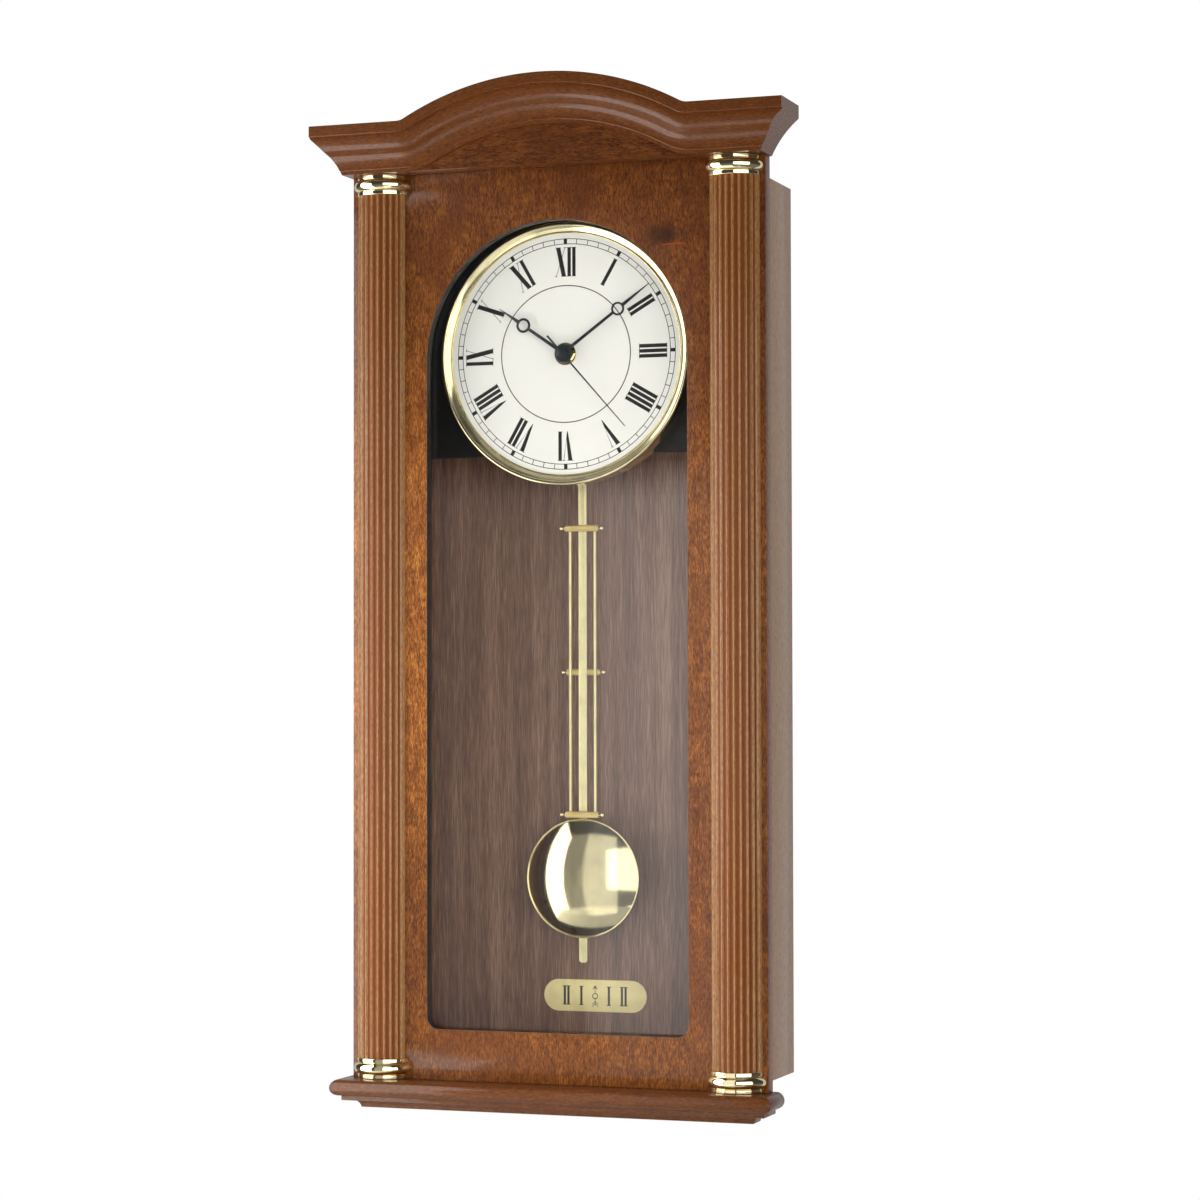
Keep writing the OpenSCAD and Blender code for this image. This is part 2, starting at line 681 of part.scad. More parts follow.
// Flat rod with a round eye at the top and a clipped tip
module pendulum_rod() color("#e0c56e") to_hanger() slab(rod_y, rod_y + rod_t) difference() {
    union() {
        translate([0, 404]) circle(3.6);
        polygon([[-2.5, 404], [-2.5, 84.7], [-1.4, 83.5], [1.4, 83.5], [2.5, 84.7], [2.5, 404]]);
    }
    translate([0, 404]) circle(1.5);
}

module side_rods() color("#dcc06a") to_hanger() for (x = [-rod_x, rod_x])
    translate([x, rod_y + rod_t / 2, bar_z[2] - 1.2]) cylinder(r = 1, h = bar_z[0] - bar_z[2] + 2.4);

// Ball-ended bars, notched where the flat rod and the side rods pass
module crossbars() color("#c9a24c") to_hanger() difference() {
    for (i = [0:2]) translate([0, i == 1 ? rod_y + bar_r : rod_y + rod_t - bar_r, bar_z[i]]) {
        rotate([0, 90, 0]) cylinder(r = bar_r, h = 20.8, center = true);
        rotate([0, 90, 0]) cylinder(r = 0.8, h = 26, center = true);
        for (s = [-1, 1]) translate([s * 12.85, 0, 0]) sphere(1.35);
    }
    box([-2.5, rod_y, 150], [2.5, rod_y + rod_t, 360]);
    for (x = [-rod_x, rod_x]) translate([x, rod_y + rod_t / 2, 150]) cylinder(r = 1, h = 210);
}

// Lens-shaped shell, closed at the rear by a flat disc that lies on the rod
module bob() color("#e3cd84") to_hanger() translate([0, rod_y, bob_z]) {
    outer = (bob_r * bob_r + bob_bulge * bob_bulge) / (2 * bob_bulge);
    difference() {
        turned() intersection() {
            translate([0, outer - bob_bulge]) difference() {
                circle(outer, $fn = 256);
                circle(outer - 0.8, $fn = 256);
            }
            translate([0, -bob_bulge - 1]) square([bob_r, bob_bulge + 1]);
        }
    }
    stud(bob_r - 0.6, -0.8, 0);
}

case_side_left();
case_side_right();
case_top();
case_bottom();
back_board();
hanging_rail();
hanger_plate();
hanger_screws();
movement_board();
board_battens();
board_screws();
dial_drum();
bezel();
dial_face();
dial_washer();
mounting_nut();
centre_bush();
movement_front_case();
movement_back_case();
train_bridge();
motor_stator();
motor_coil();
circuit_board();
battery_contacts();
battery();
pendulum_coil();
pendulum_axle();
scale_plaque();
hinge_case_leaves();
hinge_door_leaves();
hinge_pins();
magnet_catch();
strike_plate();
door_panel();
cornice();
tympanum();
base_moulding();
column_left();
column_right();
collars_top();
collars_bottom();
glass_pane();
glass_clips();
hour_hand();
hour_wheel();
minute_hand();
centre_wheel();
second_hand();
second_wheel();
third_wheel();
fourth_wheel();
motor_rotor();
motion_wheel();
setting_knob();
pendulum_lever();
pendulum_magnet();
pendulum_rod();
side_rods();
crossbars();
bob();
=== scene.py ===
"""The looks of the wall clock: every visible piece and its material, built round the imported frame."""

import json
from math import asin, atan2, cos, pi, radians, sin, sqrt

import bmesh
import bpy
from mathutils import Matrix, Vector

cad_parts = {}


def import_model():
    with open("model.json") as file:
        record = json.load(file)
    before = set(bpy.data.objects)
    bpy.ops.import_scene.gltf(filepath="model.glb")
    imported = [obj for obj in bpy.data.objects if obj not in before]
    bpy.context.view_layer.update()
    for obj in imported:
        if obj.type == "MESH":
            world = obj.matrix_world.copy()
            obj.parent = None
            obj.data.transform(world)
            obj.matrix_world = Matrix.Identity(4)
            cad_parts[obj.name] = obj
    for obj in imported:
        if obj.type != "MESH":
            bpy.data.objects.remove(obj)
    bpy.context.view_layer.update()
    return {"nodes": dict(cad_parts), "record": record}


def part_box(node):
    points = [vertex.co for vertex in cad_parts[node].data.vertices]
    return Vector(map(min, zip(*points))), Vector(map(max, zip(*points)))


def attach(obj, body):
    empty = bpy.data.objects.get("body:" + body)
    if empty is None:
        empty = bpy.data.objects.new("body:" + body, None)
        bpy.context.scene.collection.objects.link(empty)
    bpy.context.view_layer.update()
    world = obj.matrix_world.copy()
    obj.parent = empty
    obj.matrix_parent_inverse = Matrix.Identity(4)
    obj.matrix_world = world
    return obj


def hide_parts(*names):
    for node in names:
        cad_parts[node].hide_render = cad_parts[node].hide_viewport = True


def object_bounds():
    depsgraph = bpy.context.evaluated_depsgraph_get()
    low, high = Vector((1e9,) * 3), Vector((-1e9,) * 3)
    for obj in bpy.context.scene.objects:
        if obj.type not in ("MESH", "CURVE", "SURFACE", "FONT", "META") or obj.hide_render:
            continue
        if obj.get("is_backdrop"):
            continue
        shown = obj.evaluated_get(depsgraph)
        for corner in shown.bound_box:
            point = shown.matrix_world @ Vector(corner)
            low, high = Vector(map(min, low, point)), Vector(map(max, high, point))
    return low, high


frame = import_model()
nodes = frame["nodes"]
record = frame["record"]
body_of_node = {
    node: body for body, members in record["behaviour"]["bodies"].items() for node in members
}

MM = 0.001
SMOOTH_ANGLE = radians(32)


# ---------- node trees ----------

class Nodes:
    """Short ways to add nodes to a tree."""

    def __init__(self, tree):
        self.tree = tree
        self.tree.nodes.clear()

    def new(self, kind):
        return self.tree.nodes.new("ShaderNode" + kind)

    def link(self, start, end):
        self.tree.links.new(start, end)

    def feed(self, socket, value):
        """Links a node's output to a socket, or sets a constant."""
        if isinstance(value, bpy.types.NodeSocket):
            self.link(value, socket)
        elif isinstance(value, (int, float)) and hasattr(socket.default_value, "__len__"):
            socket.default_value = [value] * len(socket.default_value)
        elif hasattr(value, "__len__") and len(value) == 3 and len(socket.default_value) == 4:
            socket.default_value = [*value, 1]
        else:
            socket.default_value = value

    def math(self, operation, a, b=0.0, c=0.0):
        node = self.new("Math")
        node.operation = operation
        for socket, value in zip(node.inputs, (a, b, c)):
            self.feed(socket, value)
        return node.outputs[0]

    def split(self, vector):
        node = self.new("SeparateXYZ")
        self.link(vector, node.inputs[0])
        return node.outputs

    def plus(self, a, b):
        return self.math("ADD", a, b)

    def minus(self, a, b):
        return self.math("SUBTRACT", a, b)

    def times(self, a, b):
        return self.math("MULTIPLY", a, b)

    def size_of(self, a):
        return self.math("ABSOLUTE", a)

    def ramp(self, factor, low, high, a=0.0, b=1.0):
        """Smooth change from a at low to b at high."""
        node = self.new("MapRange")
        node.interpolation_type = "SMOOTHSTEP"
        values = {"Value": factor, "From Min": low, "From Max": high, "To Min": a, "To Max": b}
        for name, value in values.items():
            self.feed(node.inputs[name], value)
        return node.outputs[0]

    def mix(self, factor, a, b, blend="MIX"):
        node = self.new("Mix")
        node.data_type = "RGBA"
        node.blend_type = blend
        self.feed(node.inputs["Factor"], factor)
        self.feed(node.inputs[6], a)
        self.feed(node.inputs[7], b)
        return node.outputs[2]


class Paint(Nodes):
    """A material with one Principled shader."""

    def __init__(self, name, **sockets):
        self.material = bpy.data.materials.new(name)
        self.material.use_nodes = True
        super().__init__(self.material.node_tree)
        self.output = self.new("OutputMaterial")
        self.shader = self.new("BsdfPrincipled")
        self.link(self.shader.outputs[0], self.output.inputs["Surface"])
        for socket, value in sockets.items():
            self.shader.inputs[socket.replace("_", " ")].default_value = value

    def drive(self, socket, value):
        self.feed(self.shader.inputs[socket], value)

    def place(self):
        """Each point's place in metres, which travels with its piece."""
        return self.new("TexCoord").outputs["Object"]

    def figure(self, sizes, detail=2.0, roughness=0.5, distortion=0.0, point=None):
        """Noise whose patches have the given sizes in metres along x, y and z, or one size for all."""
        stretch = self.new("VectorMath")
        stretch.operation = "MULTIPLY"
        self.link(point or self.place(), stretch.inputs[0])
        sizes = sizes if isinstance(sizes, list) else [sizes] * 3
        stretch.inputs[1].default_value = [1 / size for size in sizes]
        noise = self.new("TexNoise")
        self.link(stretch.outputs[0], noise.inputs["Vector"])
        settings = {"Scale": 1, "Detail": detail, "Roughness": roughness, "Distortion": distortion}
        for name, value in settings.items():
            noise.inputs[name].default_value = value
        return noise.outputs["Fac"]

    def bump(self, height, distance, strength=1.0):
        node = self.new("Bump")
        node.inputs["Strength"].default_value = strength
        node.inputs["Distance"].default_value = distance
        self.link(height, node.inputs["Height"])
        self.drive("Normal", node.outputs[0])


def linear(red, green, blue):
    """An sRGB colour from 0 to 255 as linear values."""
    shares = [c / 255 for c in (red, green, blue)]
    return tuple(s / 12.92 if s < 0.04045 else ((s + 0.055) / 1.055) ** 2.4 for s in shares)


# ---------- materials ----------

# Sizes of the wood's figure in metres, across the grain and along it
DASH = (0.00055, 0.0030)
FIBRE = (0.0016, 0.010)
BLOTCH = (0.006, 0.010)
CLOUD = (0.026, 0.045)
PORE = (0.0005, 0.0026)


def grain_sizes(axis, across, along):
    return [along if i == axis else across for i in range(3)]


def veneer(
    name, dark, mid, light, axis=2, coat=0.8, place=None, depth=1.0, spots=0.3, roughness=0.5, grain=1.0
):
    """Stained veneer under clear lacquer: dashes of grain and dark pores over blotches of tone. axis is
    the way the grain runs, depth the strength of clouds and pores, spots the blotches' share of the
    tone, and grain its contrast. place gives the coordinates, if they aren't the object's."""
    paint = Paint(name, Coat_Weight=coat, Coat_Roughness=0.13, Specular_IOR_Level=0.15)
    point = place(paint) if place else paint.place()
    dash = paint.figure(grain_sizes(axis, *DASH), 2, 0.6, 0.2, point)
    fibre = paint.figure(grain_sizes(axis, *FIBRE), 3, 0.6, 0.4, point)
    blotch = paint.figure(grain_sizes(axis, *BLOTCH), 4, 0.62, 0.5, point)
    cloud = paint.figure(grain_sizes(axis, *CLOUD), 2, 0.5, 0.3, point)
    pore = paint.figure(grain_sizes(axis, *PORE), 1, 0.5, 0, point)
    fibre_share = 0.2
    dash_share = 1 - fibre_share - spots
    tone = paint.plus(paint.times(dash, dash_share), paint.times(fibre, fibre_share))
    tone = paint.plus(tone, paint.times(blotch, spots))
    colour = paint.mix(paint.ramp(tone, 0.38, 0.52, 1 - grain), dark, mid)
    colour = paint.mix(paint.ramp(tone, 0.49, 0.62, 0, grain), colour, light)
    shaded = [dark[0] * 1.6, dark[1] * 1.5, dark[2] * 1.4]
    colour = paint.mix(paint.ramp(cloud, 0.46, 0.7, 0, 0.5 * depth), colour, shaded)
    pore_colour = [c * 0.45 for c in dark]
    colour = paint.mix(paint.ramp(pore, 0.56, 0.66, 0, 0.6 * depth), colour, pore_colour)
    paint.drive("Base Color", colour)
    paint.drive("Roughness", paint.ramp(dash, 0.3, 0.7, roughness + 0.08, roughness - 0.06))
    paint.bump(paint.minus(dash, paint.ramp(pore, 0.55, 0.7, 0, 0.7)), 0.00006, 0.4)
    return paint


def metal(name, colour, roughness=0.18, scratch=0.5, across=0.0004, along=0.02, axis=2, metallic=1.0):
    """Metal with fine lines left by finishing and a slight tarnish."""
    paint = Paint(name, Metallic=metallic)
    lines = paint.figure(grain_sizes(axis, across, along), 3, 0.6)
    cloud = paint.figure(0.012, 3, 0.6)
    dull = [c * 0.86 for c in colour]
    paint.drive("Base Color", paint.mix(paint.ramp(cloud, 0.4, 0.75), colour, dull))
    scratches = paint.ramp(lines, 0.3, 0.7, 0, 0.1 * scratch)
    tarnish = paint.ramp(cloud, 0.35, 0.7, 0, 0.05)
    paint.drive("Roughness", paint.plus(paint.plus(scratches, tarnish), roughness))
    paint.bump(lines, 0.00002, 0.25 * scratch)
    return paint


def moulded(name, colour, roughness=0.42, texture=0.0005, depth=0.00004, spread=0.12, metallic=0.0):
    """Moulded plastic or paint: a fine texture, with slight wear in its colour and gloss."""
    paint = Paint(name, Metallic=metallic)
    fine = paint.figure(texture, 2, 0.6)
    wear = paint.figure(0.015, 4, 0.65)
    worn = [c * (1 - spread) for c in colour]
    paint.drive("Base Color", paint.mix(paint.ramp(wear, 0.35, 0.75), colour, worn))
    paint.drive("Roughness", paint.ramp(wear, 0.3, 0.7, roughness - 0.05, roughness + 0.08))
    paint.bump(fine, depth, 0.4)
    return paint


# Dark, middle and light tone of each wood and foil
RED = (linear(68, 33, 11), linear(108, 57, 18), linear(144, 86, 34))
UMBER = (linear(76, 38, 11), linear(104, 55, 16), linear(132, 76, 26))
TYMPANUM = (RED[0], linear(104, 55, 19), linear(128, 73, 28))
FLUTED = (linear(130, 84, 44), linear(174, 126, 76), linear(204, 160, 108))
SIDE_FOIL = (linear(150, 110, 76), linear(170, 128, 90), linear(184, 144, 106))
PLAIN_WOOD = (linear(150, 118, 84), linear(182, 148, 108), linear(204, 172, 132))
BACK_FOIL = (linear(98, 68, 53), linear(130, 95, 77), linear(164, 130, 110))


def unrolled(paint):
    """Place along and round a swept moulding, in metres, as its own mesh carries it."""
    return paint.new("TexCoord").outputs["UV"]


def knotted_panel():
    """The door's veneer, with a dark knot and a streak beside the round head. Painted light: the veneer
    is paler and yellower half way down and towards the left, and a little paler at its foot."""
    paint = veneer("door_veneer", *RED, coat=0.5, spots=0.24, grain=0.82)
    low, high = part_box("door_panel")
    middle_z = (low.z + high.z) / 2
    x, _, z = paint.split(paint.place())

    knot = Vector((0.0665, low.y, high.z - 0.043))
    knot_w, knot_h = 0.012, 0.007
    wobble = paint.times(paint.figure(0.004, 3, 0.6), 0.008)
    dx = paint.math("DIVIDE", paint.minus(x, knot.x), knot_w)
    dz = paint.math("DIVIDE", paint.plus(paint.minus(z, knot.z + 0.004), wobble), knot_h)
    away = paint.math("SQRT", paint.plus(paint.times(dx, dx), paint.times(dz, dz)))

    base = paint.shader.inputs["Base Color"].links[0].from_socket
    # Painted light: a patchy band, paler and yellower, half way down and strongest on the left
    level = paint.size_of(paint.minus(z, middle_z + 0.01))
    painted_light_band = paint.times(paint.ramp(level, 0.03, 0.25, 0.85, 0), paint.ramp(x, -0.1, 0.1, 1, 0.3))
    cloud = paint.figure([0.004, 0.004, 0.012], 3, 0.6)
    painted_light_band = paint.times(painted_light_band, paint.ramp(cloud, 0.3, 0.7, 0.5, 1))
    # Painted light: the veneer a little paler towards its foot
    foot = paint.ramp(z, low.z, middle_z + 0.05, 0.17, 0)
    paler = [3.0, 3.5, 3.7]
    base = paint.mix(paint.math("MAXIMUM", painted_light_band, foot), base, paler, "MULTIPLY")
    colour = paint.mix(paint.ramp(away, 0.2, 1.3, 0.75, 0), base, linear(40, 20, 10))

    streak_x, streak_z = knot.x + 0.006, knot.z - 0.0045
    line = paint.plus(paint.minus(z, streak_z), paint.times(wobble, 0.3))
    thin = paint.ramp(paint.size_of(line), 0.0002, 0.0008, 1, 0)
    short = paint.ramp(paint.size_of(paint.minus(x, streak_x)), 0.005, 0.0085, 0.8, 0)
    colour = paint.mix(paint.times(thin, short), colour, linear(150, 70, 28))
    paint.drive("Base Color", colour)
    return paint


def fluted_veneer():
    """The columns' veneer: quiet grain on the ridges, and under thin lacquer in the flutes a darker brown
    that is partly stain and partly painted shade.
    """
    paint = veneer("column_veneer", *FLUTED, coat=1, depth=0.4, spots=0.1, grain=0.5)
    low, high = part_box("column_right")
    radius = (high.x - low.x) / 2
    x, y, _ = paint.split(paint.place())
    across = paint.minus(paint.size_of(x), (low.x + high.x) / 2)
    ahead = paint.minus(y, low.y + radius)
    square = paint.plus(paint.times(across, across), paint.times(ahead, ahead))
    below_ridge = paint.minus(radius, paint.math("SQRT", square))
    base = paint.shader.inputs["Base Color"].links[0].from_socket
    # Darker brown in the flutes: partly stain, partly painted shade
    flute_stain_and_shade = paint.ramp(below_ridge, 0.00045, 0.0011, 0, 0.9)
    paint.drive("Base Color", paint.mix(flute_stain_and_shade, base, linear(122, 56, 14)))
    paint.drive("Coat Weight", paint.ramp(flute_stain_and_shade, 0, 0.9, 1, 0.15))
    return paint


def back_foil():
    """Walnut-print foil: long pale hairlines over a dark ground, in soft vertical bands."""
    paint = Paint("back_foil", Coat_Weight=0.12, Coat_Roughness=0.25)
    hair = paint.figure([0.00045, 0.00045, 0.013], 3, 0.62, 0.1)
    band = paint.figure([0.007, 0.007, 0.30], 2, 0.55, 0.2)
    tone = paint.plus(paint.times(hair, 0.62), paint.times(band, 0.38))
    dark, mid, light = BACK_FOIL
    colour = paint.mix(paint.ramp(tone, 0.38, 0.51), dark, mid)
    colour = paint.mix(paint.ramp(tone, 0.5, 0.64), colour, light)
    paint.drive("Base Color", colour)
    paint.drive("Roughness", paint.ramp(hair, 0.3, 0.7, 0.5, 0.4))
    paint.bump(hair, 0.00006, 0.4)
    return paint


def printed_dial():
    """Ivory lacquered dial with a faint uneven sheen."""
    paint = Paint("dial_ivory", Coat_Weight=0.2, Coat_Roughness=0.2)
    cloud = paint.figure(0.02, 3, 0.6)
    fine = paint.figure(0.0006, 2, 0.5)
    paint.drive("Base Color", paint.mix(cloud, linear(250, 248, 242), linear(245, 243, 236)))
    paint.drive("Roughness", paint.ramp(cloud, 0.3, 0.7, 0.42, 0.34))
    paint.bump(fine, 0.00001, 0.3)
    return paint


def window_glass():
    """Thin clear float glass that lets lamps through for shadows."""
    paint = Paint("float_glass", IOR=1.5, Transmission_Weight=1)
    dust = paint.figure(0.03, 4, 0.7)
    paint.drive("Base Color", paint.mix(dust, linear(253, 253, 252), linear(249, 250, 248)))
    paint.drive("Roughness", paint.ramp(dust, 0.45, 0.8, 0.0, 0.03))
    clear = paint.new("BsdfTransparent")
    clear.inputs["Color"].default_value = (0.98, 0.98, 0.972, 1)
    rays = paint.new("LightPath")
    choice = paint.new("MixShader")
    paint.link(rays.outputs["Is Shadow Ray"], choice.inputs[0])
    paint.link(paint.shader.outputs[0], choice.inputs[1])
    paint.link(clear.outputs[0], choice.inputs[2])
    paint.link(choice.outputs[0], paint.output.inputs["Surface"])
    return paint


def battery_skin():
    """Printed shrink sleeve: a dark body with a copper band near the positive end."""
    paint = Paint("battery_sleeve", Coat_Weight=0.5, Coat_Roughness=0.1)
    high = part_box("battery")[1]
    x = paint.split(paint.place())[0]
    cloud = paint.figure(0.004, 3, 0.6)
    band_starts = high.x - 0.0165
    band = paint.ramp(x, band_starts, band_starts + 0.0005)
    body = paint.mix(cloud, linear(30, 34, 40), linear(38, 42, 50))
    copper = paint.mix(cloud, linear(176, 106, 52), linear(190, 122, 66))
    paint.drive("Base Color", paint.mix(band, body, copper))
    paint.drive("Metallic", paint.times(band, 0.8))
    paint.drive("Roughness", paint.ramp(cloud, 0.3, 0.7, 0.34, 0.26))
    paint.bump(cloud, 0.00002, 0.3)
    return paint


def circuit_green():
    """Solder mask over fine tracks."""
    paint = Paint("circuit_green", Coat_Weight=0.4, Coat_Roughness=0.15)
    tracks = paint.figure([0.0016, 0.01, 0.0009], 1, 0.4)
    edge = paint.ramp(paint.size_of(paint.minus(tracks, 0.5)), 0.01, 0.03, 1, 0)
    paint.drive("Base Color", paint.mix(edge, linear(22, 84, 44), linear(52, 128, 70)))
    paint.drive("Roughness", paint.ramp(tracks, 0.3, 0.7, 0.4, 0.3))
    paint.bump(edge, 0.00003, 0.4)
    return paint


MOULDING = {"coat": 0.6, "depth": 0.6, "spots": 0.14, "grain": 0.65}
PAINTS = {
    "panel_veneer": knotted_panel(),
    "tympanum_veneer": veneer("tympanum_veneer", *TYMPANUM, axis=0),
    "moulding_veneer": veneer("moulding_veneer", *UMBER, axis=0, place=unrolled, **MOULDING),
    "base_veneer": veneer("base_veneer", *UMBER, axis=0, **MOULDING),
    "column_veneer": fluted_veneer(),
    "side_foil": veneer("side_foil", *SIDE_FOIL, coat=0.5, depth=0.3, spots=0.2, grain=0.8),
    "back_foil": back_foil(),
    "carcass_wood": veneer("carcass_wood", *PLAIN_WOOD, axis=0, coat=0.0, depth=0.3, roughness=0.7),
    "black_board": moulded("black_board", linear(11, 10, 10), 0.5, 0.0004),
    "reveal_black": moulded("reveal_black", linear(14, 14, 15), 0.42, 0.0006),
    # Painted highlight: grey on the window's front arris, where light catches the edge
    "arris_highlight_grey": moulded("arris_highlight_grey", linear(92, 78, 68), 0.4),
    "gilt": metal("gilt", linear(250, 236, 190), 0.04, 0.15),
    "polished_brass": metal("polished_brass", linear(228, 216, 172), 0.07, 0.2),
    "satin_brass": metal("satin_brass", linear(214, 184, 108), 0.3, 1.0),
    "knurled_brass": metal("knurled_brass", linear(232, 206, 140), 0.34, 0.6, axis=0, metallic=0.75),
    "bezel_brass": metal("bezel_brass", linear(246, 232, 188), 0.07, 0.2),
    "rod_brass": metal("rod_brass", linear(240, 230, 176), 0.4, 0.8, metallic=0.7),
    "plaque_brass": metal(
        "plaque_brass", linear(255, 240, 172), 0.45, 1.0, across=0.0003, along=0.03, axis=0, metallic=0.05
    ),
    "dial_white": printed_dial(),
    "print_black": moulded("print_black", linear(20, 19, 18), 0.4, 0.0004),
    "print_brown": moulded("print_brown", linear(72, 60, 34), 0.4, 0.0004),
    "hand_black": moulded("hand_black", linear(30, 36, 40), 0.28, 0.0008, depth=0.00001),
    "steel": metal("zinc_steel", linear(196, 198, 200), 0.26, 0.8),
    "black_plastic": moulded("black_plastic", linear(24, 24, 25), 0.4),
    "white_plastic": moulded("white_plastic", linear(226, 222, 208), 0.4),
    "black_rubber": moulded("black_rubber", linear(26, 25, 24), 0.7, 0.0004, depth=0.00008),
    "magnet": moulded(
        "magnet_ferrite", linear(74, 74, 78), 0.45, depth=0.00005, spread=0.2, metallic=0.6
    ),
    "copper": metal("copper_wire", linear(196, 112, 62), 0.25, 0.6),
    "board_green": circuit_green(),
    "battery_skin": battery_skin(),
    "glass": window_glass(),
}


# ---------- mesh helpers ----------

def shade(mesh, angle=SMOOTH_ANGLE):
    """Smooth faces, with sharp edges where they meet at more than angle."""
    bm = bmesh.new()
    bm.from_mesh(mesh)
    for face in bm.faces:
        face.smooth = True
    for edge in bm.edges:
        edge.smooth = len(edge.link_faces) == 2 and edge.calc_face_angle(0) < angle
    bm.to_mesh(mesh)
    bm.free()


def piece(name, bm, paint, body, slot, replaced=(), angle=SMOOTH_ANGLE):
    """A finished piece: its mesh, one paint or a list, its body, its slot, which is not used, and the
    CAD nodes that it stands for."""
    mesh = bpy.data.meshes.new(name)
    bmesh.ops.recalc_face_normals(bm, faces=bm.faces)
    bm.to_mesh(mesh)
    bm.free()
    shade(mesh, angle)
    made = bpy.data.objects.new(name, mesh)
    bpy.context.scene.collection.objects.link(made)
    for each in paint if isinstance(paint, (list, tuple)) else [paint]:
        mesh.materials.append(PAINTS[each].material)
    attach(made, body)
    if replaced:
        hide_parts(*replaced)
    return made


def add_lathe(bm, profile, centre, axis="Y", segments=128):
    """Turns a closed outline of (radius, depth) round an axis through centre and adds it to bm."""
    rings = []
    for i in range(segments):
        a = 2 * pi * i / segments
        ring = []
        for r, d in profile:
            flat = (r * cos(a), d, r * sin(a)) if axis == "Y" else (r * cos(a), r * sin(a), d)
            ring.append(bm.verts.new(centre + Vector(flat)))
        rings.append(ring)
    on_axis = 1e-9
    for one, two in zip(rings, rings[1:] + rings[:1]):
        for j in range(len(profile)):
            k = (j + 1) % len(profile)
            if max(profile[j][0], profile[k][0]) > on_axis:
                bm.faces.new([one[j], one[k], two[k], two[j]])
    bmesh.ops.remove_doubles(bm, verts=bm.verts, dist=1e-7)


def add_prism(bm, outline, y0, y1, move=None):
    """Adds a flat outline in x and z, made solid between depths y0 and y1."""
    spots = [move(Vector((x, 0, z))) if move else Vector((x, 0, z)) for x, z in outline]
    front = [bm.verts.new((p.x, y0, p.z)) for p in spots]
    back = [bm.verts.new((p.x, y1, p.z)) for p in spots]
    bm.faces.new(front)
    bm.faces.new(list(reversed(back)))
    for i in range(len(spots)):
        j = (i + 1) % len(spots)
        bm.faces.new([front[i], front[j], back[j], back[i]])


def merge(target, fresh, place):
    """Moves a finished bmesh by the matrix place and adds it to target."""
    fresh.transform(place)
    mesh = bpy.data.meshes.new("merged")
    fresh.to_mesh(mesh)
    fresh.free()
    target.from_mesh(mesh)
    bpy.data.meshes.remove(mesh)


def arc_points(x, z, r, a0, a1, count):
    """Points on a circle from angle a0 to a1, both included."""
    turns = [a0 + (a1 - a0) * i / count for i in range(count + 1)]
    return [(x + r * cos(a), z + r * sin(a)) for a in turns]


def bowed(a, b, sag, count=14):
    """Points on the arc from a to b that stands sag to the left of the straight line, or right if
    negative."""
    a, b = Vector(a), Vector(b)
    chord = (b - a).length
    r = (chord ** 2 / 4 + sag ** 2) / (2 * abs(sag))
    ahead = (b - a) / chord
    out = Vector((-ahead.y, ahead.x)) * (1 if sag > 0 else -1)
    centre = (a + b) / 2 - out * (r - abs(sag))
    half = asin(min(1, chord / (2 * r)))
    turns = [half * (2 * i / count - 1) for i in range(count + 1)]
    return [centre + r * (cos(turn) * out + sin(turn) * ahead) for turn in turns]


def oblong(u0, u1, v0, v1):
    """A rectangle's corners."""
    return [(u0, v0), (u1, v0), (u1, v1), (u0, v1)]


def rounded_copy(node, paint, width, slot, chooser=None):
    """A copy of a CAD node with its sharp edges softened, standing for that node."""
    flat_angle, sharp_angle = radians(0.6), radians(38)
    bm = bmesh.new()
    bm.from_mesh(nodes[node].data)
    bmesh.ops.remove_doubles(bm, verts=bm.verts, dist=2e-6)
    bmesh.ops.dissolve_limit(bm, angle_limit=flat_angle, verts=bm.verts, edges=bm.edges)
    sharp = [e for e in bm.edges if len(e.link_faces) == 2 and e.calc_face_angle(0) > sharp_angle]
    bmesh.ops.bevel(
        bm, geom=sharp, offset=width, segments=2, profile=0.5, affect="EDGES", clamp_overlap=True
    )
    made = piece(f"{node}_soft", bm, paint, body_of_node[node], slot, [node])
    if chooser:
        for face in made.data.polygons:
            face.material_index = chooser(face)


def repaint(node, paint):
    """Gives a CAD node that stays a finished material."""
    mesh = nodes[node].data
    mesh.materials.clear()
    mesh.materials.append(PAINTS[paint].material)


# ---------- dial print ----------

dial_low, dial_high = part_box("dial_face")
dial_middle = (dial_low + dial_high) / 2
DIAL = Vector((dial_middle.x, 0, dial_middle.z))
DIAL_FRONT = dial_low.y
PRINT_THICK = 0.00004

# The numerals in millimetres: how far out their feet stand, their height and their strokes' widths
NUMERALS = ["XII", "I", "II", "III", "IIII", "V", "VI", "VII", "VIII", "IX", "X", "XI"]
NUMERAL_FOOT = 45.5
NUMERAL_H = 17.2
HAIR = 0.3
STEM = 2.1
LETTER_WIDTH = {"I": 2.95, "V": 7.0, "X": 7.6}


def leaning(x0, x1, wide, v0, v1):
    """A straight stroke, cut level at v0 and v1. Its left edge would run from x0 at the foot to x1 at
    the head."""
    def left(v):
        return x0 + (x1 - x0) * v / NUMERAL_H
    return [(left(v0), v0), (left(v0) + wide, v0), (left(v1) + wide, v1), (left(v1), v1)]


def serif(x0, x1, v):
    return oblong(x0, x1, v, v + HAIR)


